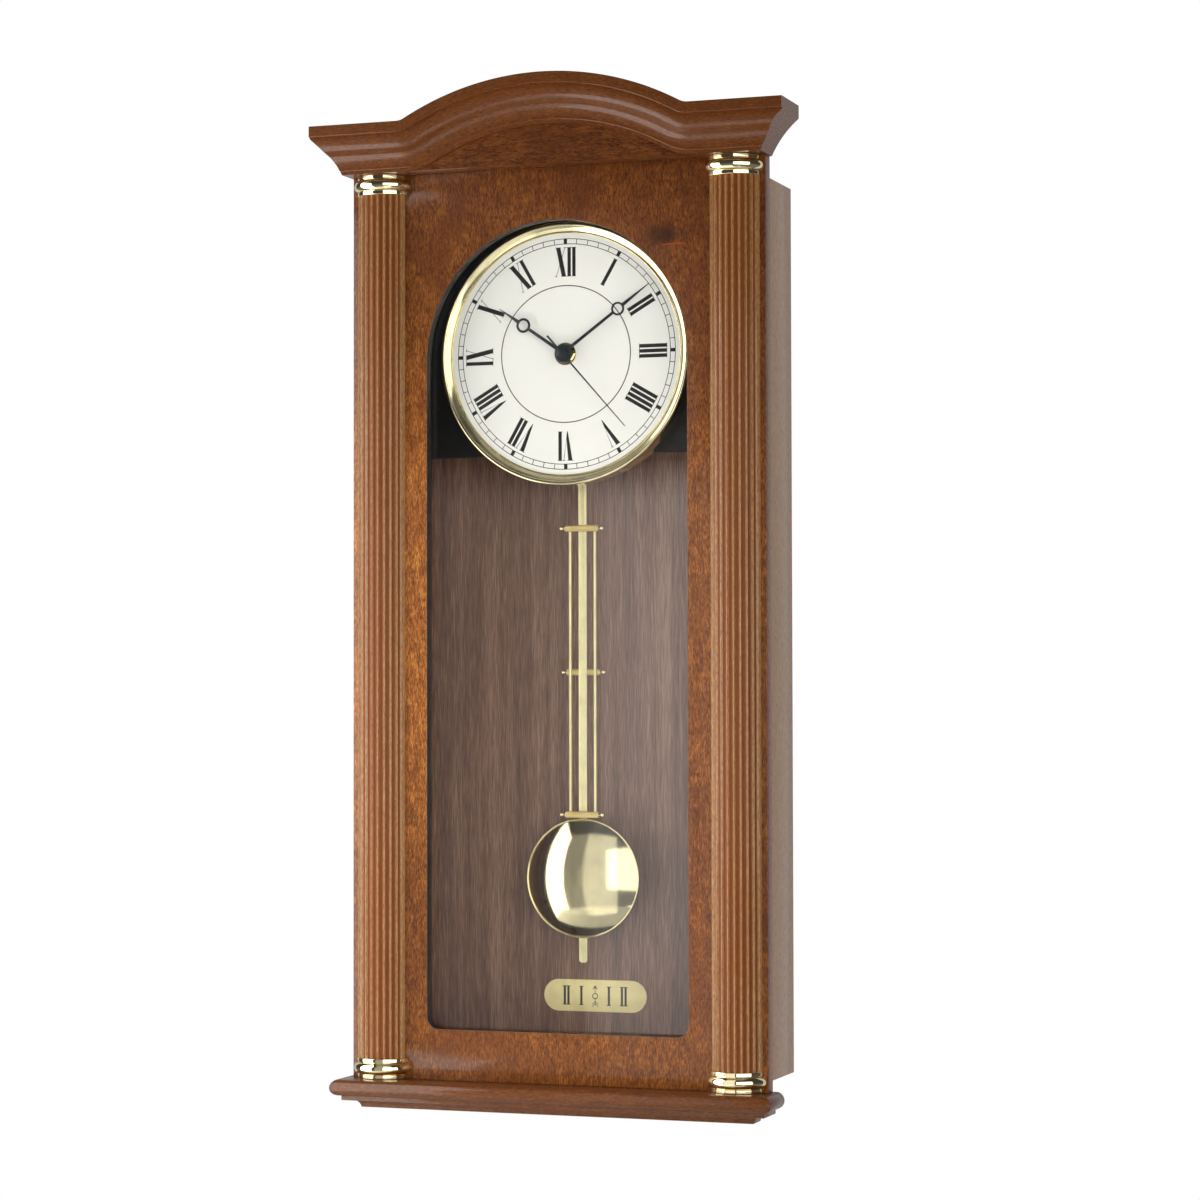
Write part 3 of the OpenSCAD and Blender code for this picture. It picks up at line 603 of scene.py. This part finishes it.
def letter_strokes(letter):
    """The strokes of one Roman letter: thick stems, hairline seconds and flat serifs."""
    foot, head = 0, NUMERAL_H - HAIR
    if letter == "I":
        middle = LETTER_WIDTH["I"] / 2
        stem = leaning(middle - STEM / 2, middle - STEM / 2, STEM, HAIR, head)
        return [stem, serif(0, 2 * middle, foot), serif(0, 2 * middle, head)]
    if letter == "V":
        join = (4.6, 4.4)
        thick = [(3.7, 0), (4.0, 0), join, (3.4, head), (0.8, head)]
        thin = [(3.7, 0), (4.1, 0), (6.3, head), (5.95, head), join]
        return [thick, thin, serif(0.2, 4.1, head), serif(5.2, 7.0, head)]
    thick = leaning(4.5, 0.9, STEM + 0.55, HAIR, head)
    thin_low = leaning(0.8, 6.4, HAIR, HAIR, NUMERAL_H * 0.42)
    thin_high = leaning(0.8, 6.4, HAIR, NUMERAL_H * 0.6, head)
    feet = [serif(0.1, 1.8, foot), serif(3.9, 7.6, foot)]
    return [thick, thin_low, thin_high, *feet, serif(0.3, 3.9, head), serif(5.6, 7.4, head)]


def polar_move(angle):
    """Moves a point drawn upright, in millimetres from the dial centre, to a clockwise angle."""
    def move(p):
        x = p.x * cos(angle) + p.z * sin(angle)
        z = p.z * cos(angle) - p.x * sin(angle)
        return DIAL + Vector((x, 0, z)) * MM
    return move


def dial_print():
    """Numerals and the minute track, as ink with a thickness of its own."""
    bm = bmesh.new()
    y0, y1 = DIAL_FRONT - PRINT_THICK, DIAL_FRONT
    for hour, numeral in enumerate(NUMERALS):
        move = polar_move(radians(30 * hour))
        x = -sum(LETTER_WIDTH[letter] for letter in numeral) / 2
        for letter in numeral:
            for stroke in letter_strokes(letter):
                add_prism(bm, [(x + u, NUMERAL_FOOT + v) for u, v in stroke], y0, y1, move)
            x += LETTER_WIDTH[letter]
    track_in, track_out, line, hour_bar = 64.7, 67.7, 0.4, 2.1
    for r in (track_in, track_out):
        rim = oblong((r - line / 2) * MM, (r + line / 2) * MM, y0, y1)
        add_lathe(bm, rim, DIAL, segments=240)
    for minute in range(60):
        half = hour_bar / 2 if minute % 5 == 0 else line / 2
        bar = oblong(-half, half, track_in, track_out)
        add_prism(bm, bar, y0, y1, polar_move(radians(6 * minute)))
    piece("dial_print", bm, "print_black", "case", "hand_black")
    bm = bmesh.new()
    r, half_line = 40.2 * MM, 0.3 * MM
    add_lathe(bm, oblong(r - half_line, r + half_line, y0, y1), DIAL, segments=240)
    piece("dial_inner_circle", bm, "print_brown", "case", "satin_brass")


def plaque_print():
    """Amplitude marks on the scale plaque: I and II either side of a small upright arrow."""
    bm = bmesh.new()
    low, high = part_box("scale_plaque")
    middle = (low + high) / 2
    y0, y1 = low.y - PRINT_THICK, low.y

    def add(outline):
        add_prism(bm, [(middle.x + x * MM, middle.z + z * MM) for x, z in outline], y0, y1)

    def bar(x, z, w, h):
        add(oblong(x - w / 2, x + w / 2, z - h / 2, z + h / 2))

    # All in millimetres from the plaque's middle
    tall, hair, stem, stem_gap = 10.4, 0.5, 1.35, 2.3
    one_at, two_at = 8.7, 18.1
    for side in (-1, 1):
        for centre, stems in ((one_at, (0,)), (two_at, (-stem_gap / 2, stem_gap / 2))):
            for offset in stems:
                bar(side * centre + offset, 0, stem, tall)
            reach = 2.6 + 2 * max(stems)
            for end in (-1, 1):
                bar(side * centre, end * (tall + hair) / 2, reach, hair)
    shaft = 0.32
    bar(0, 2.6, shaft, 3.2)
    bar(0, -3.3, shaft, 4.2)
    arrow_head = [(-1.7, 3.6), (0, 4.6), (1.7, 3.6), (0, 6.3)]
    add(arrow_head)
    for side in (-1, 1):
        for z in (-3.4, -4.7):
            root, tip = side * shaft / 2, side * 1.9
            add([(root, z), (tip, z - 1.5), (tip, z - 1.9), (root, z - 0.4)])
    ring_in, ring_out, ring_z = 1.35 * MM, 1.8 * MM, -0.2 * MM
    ring = oblong(ring_in, ring_out, y0, y1)
    add_lathe(bm, ring, Vector((middle.x, 0, middle.z + ring_z)), segments=48)
    piece("plaque_print", bm, "print_black", "case", "hand_black")


# ---------- door ----------

window_low, window_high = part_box("glass_pane")
door_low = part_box("door_panel")[0]
GLASS_LAP = 0.006          # how far the pane reaches past the window's edge
WINDOW_R = (window_high.x - window_low.x) / 2 - GLASS_LAP
ARCH_Z = window_high.z - GLASS_LAP - WINDOW_R
SILL_Z = window_low.z + GLASS_LAP
REAR_FROM_Y = door_low.y + 0.0065    # faces behind this depth are bare wood


def in_window(point):
    """Whether a point lies in the window or on its softened edge."""
    margin = 0.0015
    if point.z > ARCH_Z:
        return Vector((point.x, point.z - ARCH_Z)).length < WINDOW_R + margin
    return abs(point.x) < WINDOW_R + margin and point.z > SILL_Z - margin


def door_face(face):
    """Which of the door's paints: 0 veneer, 1 black reveal, 2 the window's arris, grey as a painted
    highlight, or 3 the bare rear.
    """
    if in_window(face.center) and abs(face.normal.y) < 0.98:
        return 2 if face.normal.y < -0.6 else 1
    if face.normal.y > 0.9 and face.center.y > REAR_FROM_Y:
        return 3
    return 0


def collar_profile(height):
    """Radius and height of a collar: two bands with softened rims, and a full bead between them."""
    band_r, bead_r, bead_at, soft = 16.4, 3.9, 14.4, 0.45
    half_bead = sqrt(bead_r ** 2 - (band_r - bead_at) ** 2)
    middle = height / 2
    groove = middle - half_bead
    lower = [(0, 0)] + arc_points(band_r - soft, soft, soft, -pi / 2, 0, 5)
    lower += [(band_r, groove - 0.5), (band_r - 0.35, groove - 0.15)]
    swell = atan2(half_bead, band_r - bead_at)
    bead = arc_points(bead_at, middle, bead_r, -swell, swell, 20)
    upper = [(r, height - z) for r, z in reversed(lower)]
    return [(r * MM, z * MM) for r, z in lower + bead + upper]


def collars_piece(level):
    """Two turned collars in one piece, sawn flat against the door panel."""
    low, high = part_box(f"collars_{level}")
    profile = collar_profile((high.z - low.z) / MM)
    reach, buried = 0.0183, 0.004
    bm = bmesh.new()
    for x in (low.x + reach, high.x - reach):
        add_lathe(bm, profile, Vector((x, high.y + buried, low.z)), "Z", 144)
    cut = bmesh.ops.bisect_plane(
        bm, geom=bm.verts[:] + bm.edges[:] + bm.faces[:], plane_co=(0, high.y, 0), plane_no=(0, 1, 0),
        clear_outer=True
    )
    rim = [e for e in cut["geom_cut"] if isinstance(e, bmesh.types.BMEdge)]
    bmesh.ops.holes_fill(bm, edges=rim, sides=0)
    piece(f"collars_{level}_turned", bm, "gilt", "door", "gilt", [f"collars_{level}"])


def cornice_section(drop):
    """The moulding's front from its top edge down to drop, as (distance below the top, distance behind
    the front): a fillet, a swell, a hollow and the step to the panel."""
    back, step = 26.4, 12.2
    front = [(0, 0.6), (0.12, 0.25), (0.5, 0), (6.1, 0), (6.45, 0.2), (6.6, 0.6), (6.85, 1.7)]
    front += [(p.x, p.y + back) for p in bowed((7.4, -24.8), (15.8, -20.5), -1.5)]
    front += [(p.x, p.y + back) for p in bowed((16.2, -20), (25.3, -14.9), 1.6)]
    front += [(25.5, step - 0.2), (25.8, step), (drop, step)]
    return [(d * MM, v * MM) for d, v in front]


def cornice_piece():
    """The cornice as one sweep: level runs with hollow ends, small sweeps up and the round crown."""
    low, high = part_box("cornice")
    level_steps, sweep_steps, crown_steps = 10, 24, 200
    crown_r, sweep_r, level_z = 0.175, 0.011, high.z - 0.023
    reach = crown_r + sweep_r
    crown_z, sweep_z = high.z - crown_r, level_z + sweep_r
    sweep_x = sqrt(reach ** 2 - (sweep_z - crown_z) ** 2)
    turn = asin(sweep_x / reach)
    front = cornice_section((level_z - low.z) / MM)
    depth = high.y - low.y
    section = front + [(d, depth) for d, v in reversed(front)]
    end_corner = (high.x / MM, (low.z + 0.0205) / MM)
    end_foot = (high.x / MM - 16, low.z / MM)
    hollow = bowed(end_corner, end_foot, -1.5, 24)

    def end_x(d):
        """How far out the moulding's hollow end stands at d below the top."""
        z = (level_z - d) / MM
        if z >= hollow[0].y:
            return high.x
        for a, b in zip(hollow, hollow[1:]):
            if a.y >= z >= b.y:
                return (a.x + (b.x - a.x) * (a.y - z) / (a.y - b.y)) * MM
        return hollow[-1].x * MM

    stations = [("level", i / level_steps) for i in range(level_steps)]
    stations += [("sweep", turn * i / sweep_steps) for i in range(sweep_steps + 1)]
    stations += [("crown", -turn + 2 * turn * i / crown_steps) for i in range(1, crown_steps // 2 + 1)]
    mirrored = stations[-2::-1]

    def spot(kind, value, d):
        """Place in x and z of the section's point at d below the top, in the left half."""
        if kind == "level":
            return -end_x(d) + (end_x(d) - sweep_x) * value, level_z - d
        if kind == "sweep":
            return -sweep_x + (sweep_r + d) * sin(value), sweep_z - (sweep_r + d) * cos(value)
        return (crown_r - d) * sin(value), crown_z + (crown_r - d) * cos(value)

    rounds = [0.0]
    for (d0, v0), (d1, v1) in zip(section, section[1:]):
        rounds.append(rounds[-1] + sqrt((d1 - d0) ** 2 + (v1 - v0) ** 2))
    bm = bmesh.new()
    uv = bm.loops.layers.uv.new("unrolled")
    rings, alongs, along, last = [], [], 0.0, None
    for side, row in ((1, stations), (-1, mirrored)):
        for kind, value in row:
            ring = []
            for d, v in section:
                x, z = spot(kind, value, d)
                ring.append(bm.verts.new((side * x, low.y + v, z)))
            middle_spot = ring[len(front) // 2].co.copy()
            along += (middle_spot - last).length if last else 0.0
            last = middle_spot
            rings.append(ring)
            alongs.append(along)
    count = len(section)
    for i in range(len(rings) - 1):
        for j in range(count):
            k = (j + 1) % count
            face = bm.faces.new([rings[i][j], rings[i][k], rings[i + 1][k], rings[i + 1][j]])
            far = rounds[k] if k else rounds[-1] + 0.01
            corners = oblong(rounds[j], far, alongs[i], alongs[i + 1])
            for loop, (across, station) in zip(face.loops, corners):
                loop[uv].uv = (station, across)
    for ring, shift in ((rings[0], -0.05), (rings[-1], 0.6)):
        for j in range(len(front) - 1):
            face = bm.faces.new([ring[j], ring[j + 1], ring[count - 2 - j], ring[count - 1 - j]])
            for loop in face.loops:
                loop[uv].uv = (shift + loop.vert.co.y, loop.vert.co.z)
    piece("cornice_moulding", bm, "moulding_veneer", "door", "moulding_veneer", ["cornice"], radians(26))


def bezel_piece():
    """The bezel: a polished outer bead, a band that slopes in to the dial, and a small inner lip."""
    low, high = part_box("bezel")
    middle, rim = (low + high) / 2, (high.x - low.x) / 2 / MM
    # In millimetres from the axis and behind the front
    bead, lip_r, lip_at, back = 1.5, 0.62, (71.4, 3.5), 9.6
    seat_in, seat_out, seat_at = 71.2, 75.1, 4.4
    outline = [(rim, back)]
    outline += [(r, -y) for r, y in arc_points(rim - bead, -bead, bead, 0, 0.72 * pi, 16)]
    slope = ((2.6, 0.62), (3.4, 1.0), (4.2, 1.5), (5.0, 2.08), (5.5, 2.5))
    outline += [(rim - inward, y) for inward, y in slope]
    outline += [(r, -y) for r, y in arc_points(lip_at[0], -lip_at[1], lip_r, 0.3 * pi, 1.05 * pi, 10)]
    outline += [(seat_in, seat_at), (seat_out, seat_at), (seat_out, back)]
    profile = [(r * MM, low.y + y * MM) for r, y in outline]
    bm = bmesh.new()
    add_lathe(bm, profile, Vector((middle.x, 0, middle.z)), segments=256)
    piece("bezel_spun", bm, "bezel_brass", "case", "gilt", ["bezel"])


def door_pieces():
    cornice_piece()
    door_paints = ["panel_veneer", "reveal_black", "arris_highlight_grey", "carcass_wood"]
    rounded_copy("door_panel", door_paints, 0.0004, "panel_veneer", door_face)
    rounded_copy("tympanum", "tympanum_veneer", 0.0002, "panel_veneer")
    rounded_copy("base_moulding", "base_veneer", 0.00025, "moulding_veneer")
    for side in ("left", "right"):
        rounded_copy(f"column_{side}", "column_veneer", 0.00012, "column_veneer")
    for level in ("top", "bottom"):
        collars_piece(level)


# ---------- pendulum ----------

def bob_piece():
    """The bob: a polished lens with a rolled rim and a flat back."""
    low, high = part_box("bob")
    middle = (low + high) / 2
    rim_r, bulge, bead = (high.x - low.x) / 2, high.y - low.y, 0.00055
    sphere = (rim_r ** 2 + bulge ** 2) / (2 * bulge)
    edge = asin((rim_r - 2 * bead) / sphere)
    steps = 64
    turns = [edge * i / steps for i in range(steps + 1)]
    dome = [(sphere * sin(a), low.y + sphere * (1 - cos(a))) for a in turns]
    roll = arc_points(rim_r - bead, high.y - bead, bead, -0.72 * pi, 0.5 * pi, 14)
    hollow_y = high.y - 0.0002
    inside = [(rim_r - 0.0016, high.y), (rim_r - 0.0022, hollow_y), (0, hollow_y)]
    bm = bmesh.new()
    add_lathe(bm, dome + roll + inside, Vector((middle.x, 0, middle.z)), segments=256)
    piece("bob_lens", bm, "polished_brass", "pendulum", "polished_brass", ["bob"])


def knurl_depth(turn, along):
    """How far the surface drops at a place on a diamond knurl, from 0 to 1."""
    teeth, pitch = 16, 0.00075
    one = teeth * turn + 2 * pi * along / pitch / 2
    two = teeth * turn - 2 * pi * along / pitch / 2
    return 1 - abs(cos(one / 2)) * abs(cos(two / 2))


def crossbar_pieces():
    """Knurled bars, and the turned neck and ball at each of their ends."""
    low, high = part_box("crossbars")
    ball_r, neck_r, bar_r, half = 1.35 * MM, 0.8 * MM, 1.9 * MM, 10.4 * MM
    cut_depth, chamfer, chamfer_run = 0.24 * MM, 0.25 * MM, 0.5 * MM
    around, along, ball_steps = 96, 140, 18
    bm, tips = bmesh.new(), bmesh.new()
    for y, z in crossbar_places():
        rings = []
        for k in range(along + 1):
            x = -half + 2 * half * k / along
            edge = min(1.0, (half - abs(x)) / chamfer_run)
            ring = []
            for j in range(around):
                turn = 2 * pi * j / around
                r = bar_r - (cut_depth * knurl_depth(turn, x) * edge + chamfer * (1 - edge))
                ring.append(bm.verts.new((x, y + r * cos(turn), z + r * sin(turn))))
            rings.append(ring)
        for one, two in zip(rings, rings[1:]):
            for j in range(around):
                n = (j + 1) % around
                bm.faces.new([one[j], one[n], two[n], two[j]])
        bm.faces.new(rings[0])
        bm.faces.new(list(reversed(rings[-1])))
        for side in (-1, 1):
            ball_x = (high.x if side > 0 else -low.x) - ball_r
            joint = ball_x - sqrt(ball_r ** 2 - neck_r ** 2)
            profile = [(0, half - 0.0002), (ball_r, half - 0.0002), (ball_r, half + 0.0004)]
            profile += [(neck_r, half + 0.0006), (neck_r, joint)]
            start = asin(neck_r / ball_r)
            turns = [(pi - start) * (1 - n / ball_steps) for n in range(1, ball_steps + 1)]
            profile += [(ball_r * sin(a), ball_x + ball_r * cos(a)) for a in turns]
            fresh = bmesh.new()
            add_lathe(fresh, profile, Vector((0, 0, 0)), "Z", 48)
            merge(tips, fresh, Matrix.Translation((0, y, z)) @ Matrix.Rotation(side * pi / 2, 4, "Y"))
    piece("crossbars_knurled", bm, "knurled_brass", "pendulum", "satin_brass", ["crossbars"], radians(50))
    piece("crossbar_tips", tips, "gilt", "pendulum", "gilt")


def crossbar_places():
    """Depth and height of each bar's axis, read from the ends of its CAD mesh."""
    points = [v.co for v in nodes["crossbars"].data.vertices]
    apart, tips_from, slack = 0.02, 0.0116, 0.001
    groups = []
    for z in sorted({round(p.z, 3) for p in points}):
        if not groups or z - groups[-1][-1] > apart:
            groups.append([])
        groups[-1].append(z)
    places = []
    for group in groups:
        part = [p for p in points if group[0] - slack <= p.z <= group[-1] + slack]
        ends = [p for p in part if abs(p.x) > tips_from]
        places.append([(min(p[axis] for p in ends) + max(p[axis] for p in ends)) / 2 for axis in (1, 2)])
    return places


# ---------- small hardware ----------

def screw_head(bm, centre, r, height, axis):
    """A domed head with a cross recess. axis is the way the head faces."""
    fresh = bmesh.new()
    sides, steps = 48, 8
    arm, half = r * 0.62, 0.00035
    cross = []
    for q in range(4):
        a = q * pi / 2
        for x, z in ((arm, -half), (arm, half), (half, half)):
            cross.append((x * cos(a) - z * sin(a), x * sin(a) + z * cos(a)))
    inner = [fresh.verts.new((x, -height * 0.93, z)) for x, z in cross]
    floor = [fresh.verts.new((x * 0.8, -height * 0.3, z * 0.8)) for x, z in cross]
    turns = [2 * pi * k / sides for k in range(sides)]
    rims = []
    for i in range(steps):
        t = (i + 1) / steps * pi / 2
        ring_r, y = r * 0.96 * (0.66 + 0.34 * sin(t)), -height * 0.93 * cos(t)
        rims.append([fresh.verts.new((ring_r * cos(a), y, ring_r * sin(a))) for a in turns])
    for a, b in zip(rims, rims[1:]):
        for k in range(sides):
            fresh.faces.new([a[k], a[(k + 1) % sides], b[(k + 1) % sides], b[k]])
    fresh.faces.new(list(reversed(rims[-1])))
    corners = len(cross)
    for k in range(corners):
        fresh.faces.new([inner[k], inner[(k + 1) % corners], floor[(k + 1) % corners], floor[k]])
    fresh.faces.new(floor)
    edges = [fresh.edges.get((rims[0][k], rims[0][(k + 1) % sides])) for k in range(sides)]
    edges += [fresh.edges.get((inner[k], inner[(k + 1) % corners])) for k in range(corners)]
    bmesh.ops.triangle_fill(fresh, use_beauty=True, use_dissolve=False, edges=edges)
    spin = Vector((0, -1, 0)).rotation_difference(Vector(axis)).to_matrix().to_4x4()
    merge(bm, fresh, Matrix.Translation(centre) @ spin)


def hinge_screws():
    """Three screws in each of the two case leaves."""
    low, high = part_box("hinge_case_leaves")
    leaf_height, leaf_face, behind = 0.0418, high.x - 0.001, 0.0085
    head_r, head_height = 0.0024, 0.0009
    bm = bmesh.new()
    for foot in (low.z, high.z - leaf_height):
        for share in (0.15, 0.5, 0.85):
            centre = Vector((leaf_face, high.y - behind, foot + leaf_height * share))
            screw_head(bm, centre, head_r, head_height, (-1, 0, 0))
    piece("hinge_screws", bm, "satin_brass", "case", "satin_brass")


def back_board_pins():
    """Small nails down both edges of the back board."""
    low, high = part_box("back_board")
    inset, end, r, thick, rows = 0.0045, 0.02, 0.0021, 0.0005, 6
    top = high.y + thick
    profile = [(0, high.y), (r, high.y), (r * 0.92, high.y + thick * 0.6), (r * 0.5, top), (0, top)]
    bm = bmesh.new()
    for i in range(rows):
        z = low.z + end + (high.z - low.z - 2 * end) * i / (rows - 1)
        for x in (low.x + inset, high.x - inset):
            add_lathe(bm, profile, Vector((x, 0, z)), segments=32)
    piece("back_board_pins", bm, "steel", "case", "steel")


def battery_pieces():
    """An AA cell: a sleeve with rolled ends, and a bright cap."""
    low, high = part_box("battery")
    middle = (low + high) / 2
    r, length, cap, soft = (high.z - low.z) / 2, high.x - low.x, 0.0012, 0.0006
    shoulder = length - cap
    sleeve = [(0, 0.0001), (r - 2 * soft, 0.0001), (r - 1.6 * soft, 0)]
    sleeve += arc_points(r - soft, soft, soft, -pi / 2, 0, 6)
    sleeve += arc_points(r - soft, shoulder - soft, soft, 0, pi / 2, 6)
    sleeve += [(r - 2.2 * soft, shoulder - 0.0003), (0, shoulder - 0.0003)]
    cap_r, cap_foot, cap_edge = 0.0027, length - 0.0016, length - 0.0003
    button = [(0, cap_foot), (cap_r, cap_foot), (cap_r, cap_edge), (cap_r - 0.0003, length), (0, length)]
    lay_down = Matrix.Translation((low.x, middle.y, middle.z)) @ Matrix.Rotation(pi / 2, 4, "Y")
    for name, profile, paint, stands in (
        ("battery_sleeve", sleeve, "battery_skin", ["battery"]),
        ("battery_cap", button, "steel", []),
    ):
        bm = bmesh.new()
        add_lathe(bm, profile, Vector((0, 0, 0)), "Z", 96)
        bm.transform(lay_down)
        piece(name, bm, paint, "battery_cell", paint, stands)


# ---------- the object ----------

# Each CAD node's paint and the width of its softened edges in metres, then its slot, if that has
# another name than the paint
ROUNDED = {
    "case_side_left": ("side_foil", 0.0006),
    "case_side_right": ("side_foil", 0.0006),
    "case_top": ("side_foil", 0.0004),
    "case_bottom": ("side_foil", 0.0004),
    "back_board": ("back_foil", 0.0002),
    "hanging_rail": ("carcass_wood", 0.0004),
    "hanger_plate": ("steel", 0.0001),
    "movement_board": ("black_board", 0.0003),
    "board_battens": ("carcass_wood", 0.0004),
    "scale_plaque": ("plaque_brass", 0.0002, "satin_brass"),
    "magnet_catch": ("white_plastic", 0.0005),
    "strike_plate": ("steel", 0.00015),
    "hinge_case_leaves": ("satin_brass", 0.00015),
    "hinge_door_leaves": ("satin_brass", 0.00015),
    "hour_hand": ("hand_black", 0.00012),
    "minute_hand": ("hand_black", 0.00012),
    "second_hand": ("hand_black", 0.00008),
    "pendulum_rod": ("rod_brass", 0.0001),
    "pendulum_lever": ("white_plastic", 0.0002),
    "setting_knob": ("black_plastic", 0.0001),
    "movement_front_case": ("black_plastic", 0.0003),
}
# The CAD nodes that stay as they are, under the paint that each gets
REPAINTED = {
    "steel": ["hanger_screws", "board_screws", "motor_stator", "battery_contacts", "pendulum_axle"],
    "bezel_brass": ["dial_drum"],
    "dial_white": ["dial_face"],
    "black_rubber": ["dial_washer"],
    "gilt": ["mounting_nut", "centre_bush"],
    "black_plastic": ["movement_back_case", "glass_clips"],
    "white_plastic": ["train_bridge", "hour_wheel", "second_wheel", "fourth_wheel", "motion_wheel"],
    "copper": ["motor_coil", "pendulum_coil"],
    "board_green": ["circuit_board"],
    "satin_brass": ["hinge_pins", "centre_wheel", "third_wheel"],
    "glass": ["glass_pane"],
    "magnet": ["motor_rotor", "pendulum_magnet"],
    "rod_brass": ["side_rods"],
}

for node, (paint, width, *slot) in ROUNDED.items():
    rounded_copy(node, paint, width, *(slot or [paint]))
for paint, members in REPAINTED.items():
    for node in members:
        repaint(node, paint)
dial_print()
plaque_print()
bezel_piece()
door_pieces()
bob_piece()
crossbar_pieces()
hinge_screws()
back_board_pins()
battery_pieces()


# ---------- stage, light and camera ----------

def floor():
    """A plain pale floor some way below the clock, which hangs on no wall here."""
    low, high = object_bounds()
    bm = bmesh.new()
    radius, drop = 0.6, 0.25
    bmesh.ops.create_circle(bm, cap_ends=True, segments=96, radius=radius)
    mesh = bpy.data.meshes.new("floor")
    bm.to_mesh(mesh)
    bm.free()
    made = bpy.data.objects.new("floor", mesh)
    made.location = (0, (low.y + high.y) / 2, low.z - drop)
    bpy.context.scene.collection.objects.link(made)
    mesh.materials.append(moulded("floor_pale", linear(236, 236, 234), 0.6, 0.002).material)
    made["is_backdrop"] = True


def lamp(name, spot, aim, width, height, brightness):
    """A rectangular lamp at spot, turned towards aim and unseen by the camera."""
    light = bpy.data.lights.new(name, "AREA")
    light.shape = "RECTANGLE"
    light.size = width
    light.size_y = height
    light.energy = brightness * pi * width * height
    made = bpy.data.objects.new(name, light)
    made.location = spot
    made.rotation_mode = "QUATERNION"
    made.rotation_quaternion = (aim - spot).to_track_quat("-Z", "Y")
    made.visible_camera = False
    bpy.context.scene.collection.objects.link(made)


def near_card(name, left, right, low, high, brightness):
    """A pale card close in front of the door. It is a stack of ever smaller lamps, which softens its left
    and top edges. They stand apart, because a ray meets only one lamp in a plane."""
    ahead, soft, steps, apart = 0.2, 0.021, 6, 0.001
    for i in range(steps):
        inset = soft * i / (steps - 1)
        y = door_low.y - ahead - apart * i
        spot = Vector(((left + inset + right) / 2, y, (low + high - inset) / 2))
        size = (right - left - inset, high - inset - low)
        lamp(f"{name}_{i}", spot, spot + Vector((0, 1, 0)), *size, brightness / steps)


def softbox(name, azimuth, elevation, distance, width, height, brightness, aim):
    """A lamp aimed at the clock. Azimuth 0 is in front of it and grows towards its right."""
    a, e = radians(azimuth), radians(elevation)
    spot = aim + distance * Vector((sin(a) * cos(e), -cos(a) * cos(e), sin(e)))
    lamp(name, spot, aim, width, height, brightness)


def side_board(name, near, far, low_z, high_z, brightness):
    """An upright lamp between two places in plan, each given as x and how far in front of the door."""
    ends = [Vector((x, door_low.y - ahead, (low_z + high_z) / 2)) for x, ahead in (near, far)]
    along = ends[1] - ends[0]
    inward = Vector((along.y, -along.x, 0)).normalized()
    spot = (ends[0] + ends[1]) / 2
    if inward.x * spot.x > 0:
        inward = -inward
    lamp(name, spot, spot + inward, along.length, high_z - low_z, brightness)


def world(above, below):
    """White to the camera. To everything else, a dark room over a paler table."""
    made = bpy.data.worlds.new("studio")
    bpy.context.scene.world = made
    made.use_nodes = True
    room = Nodes(made.node_tree)
    output = room.new("OutputWorld")
    height = room.split(room.new("TexCoord").outputs["Generated"])[2]
    shine = room.ramp(height, -0.35, 0.1, below, above)
    seen = room.new("Background")
    seen.inputs["Color"].default_value = (1, 1, 1, 1)
    around = room.new("Background")
    room.feed(around.inputs["Strength"], shine)
    rays = room.new("LightPath")
    choice = room.new("MixShader")
    room.link(rays.outputs["Is Camera Ray"], choice.inputs[0])
    room.link(around.outputs[0], choice.inputs[1])
    room.link(seen.outputs[0], choice.inputs[2])
    room.link(choice.outputs[0], output.inputs[0])


def camera():
    """Stands to the right of the clock, a little below its middle, looking slightly up."""
    place = Vector((0.64558, -1.81703, -0.26518))
    turn, tilt, roll, lens = radians(19.52), radians(1.69), radians(0.11), 96.3
    made = bpy.data.objects.new("camera", bpy.data.cameras.new("camera"))
    made.data.lens = lens
    made.data.sensor_width = 36
    made.data.clip_start = 0.05
    made.location = place
    made.rotation_euler = (pi / 2 + tilt, roll, turn)
    bpy.context.scene.collection.objects.link(made)
    bpy.context.scene.camera = made


middle = sum(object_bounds(), Vector()) / 2
WINDOW_BAND = {"low": -0.6, "high": -0.115}
world(above=0.06, below=0.2)
side_board("left_board", near=(-0.41, 0.05), far=(-0.46, 0.6), low_z=-0.85, high_z=0.2, brightness=3.4)
softbox("right_softbox", 40, 3, distance=1.8, width=2.0, height=1.5, brightness=2.0, aim=middle)
softbox("backdrop", 180, 0, distance=0.9, width=4.0, height=3.0, brightness=0.5, aim=middle)
softbox("top_softbox", 0, 80, distance=1.6, width=1.4, height=1.2, brightness=0.2, aim=middle)
softbox("low_card", 0, -56, distance=0.8, width=1.0, height=0.25, brightness=2.2, aim=middle)
near_card("front_card", left=-0.071, right=0.12, brightness=0.95, **WINDOW_BAND)
near_card("faint_card", left=-0.18, right=-0.071, brightness=0.3, **WINDOW_BAND)
floor()
camera()
bpy.context.scene.view_settings.view_transform = "Standard"
bpy.context.scene.view_settings.look = "None"
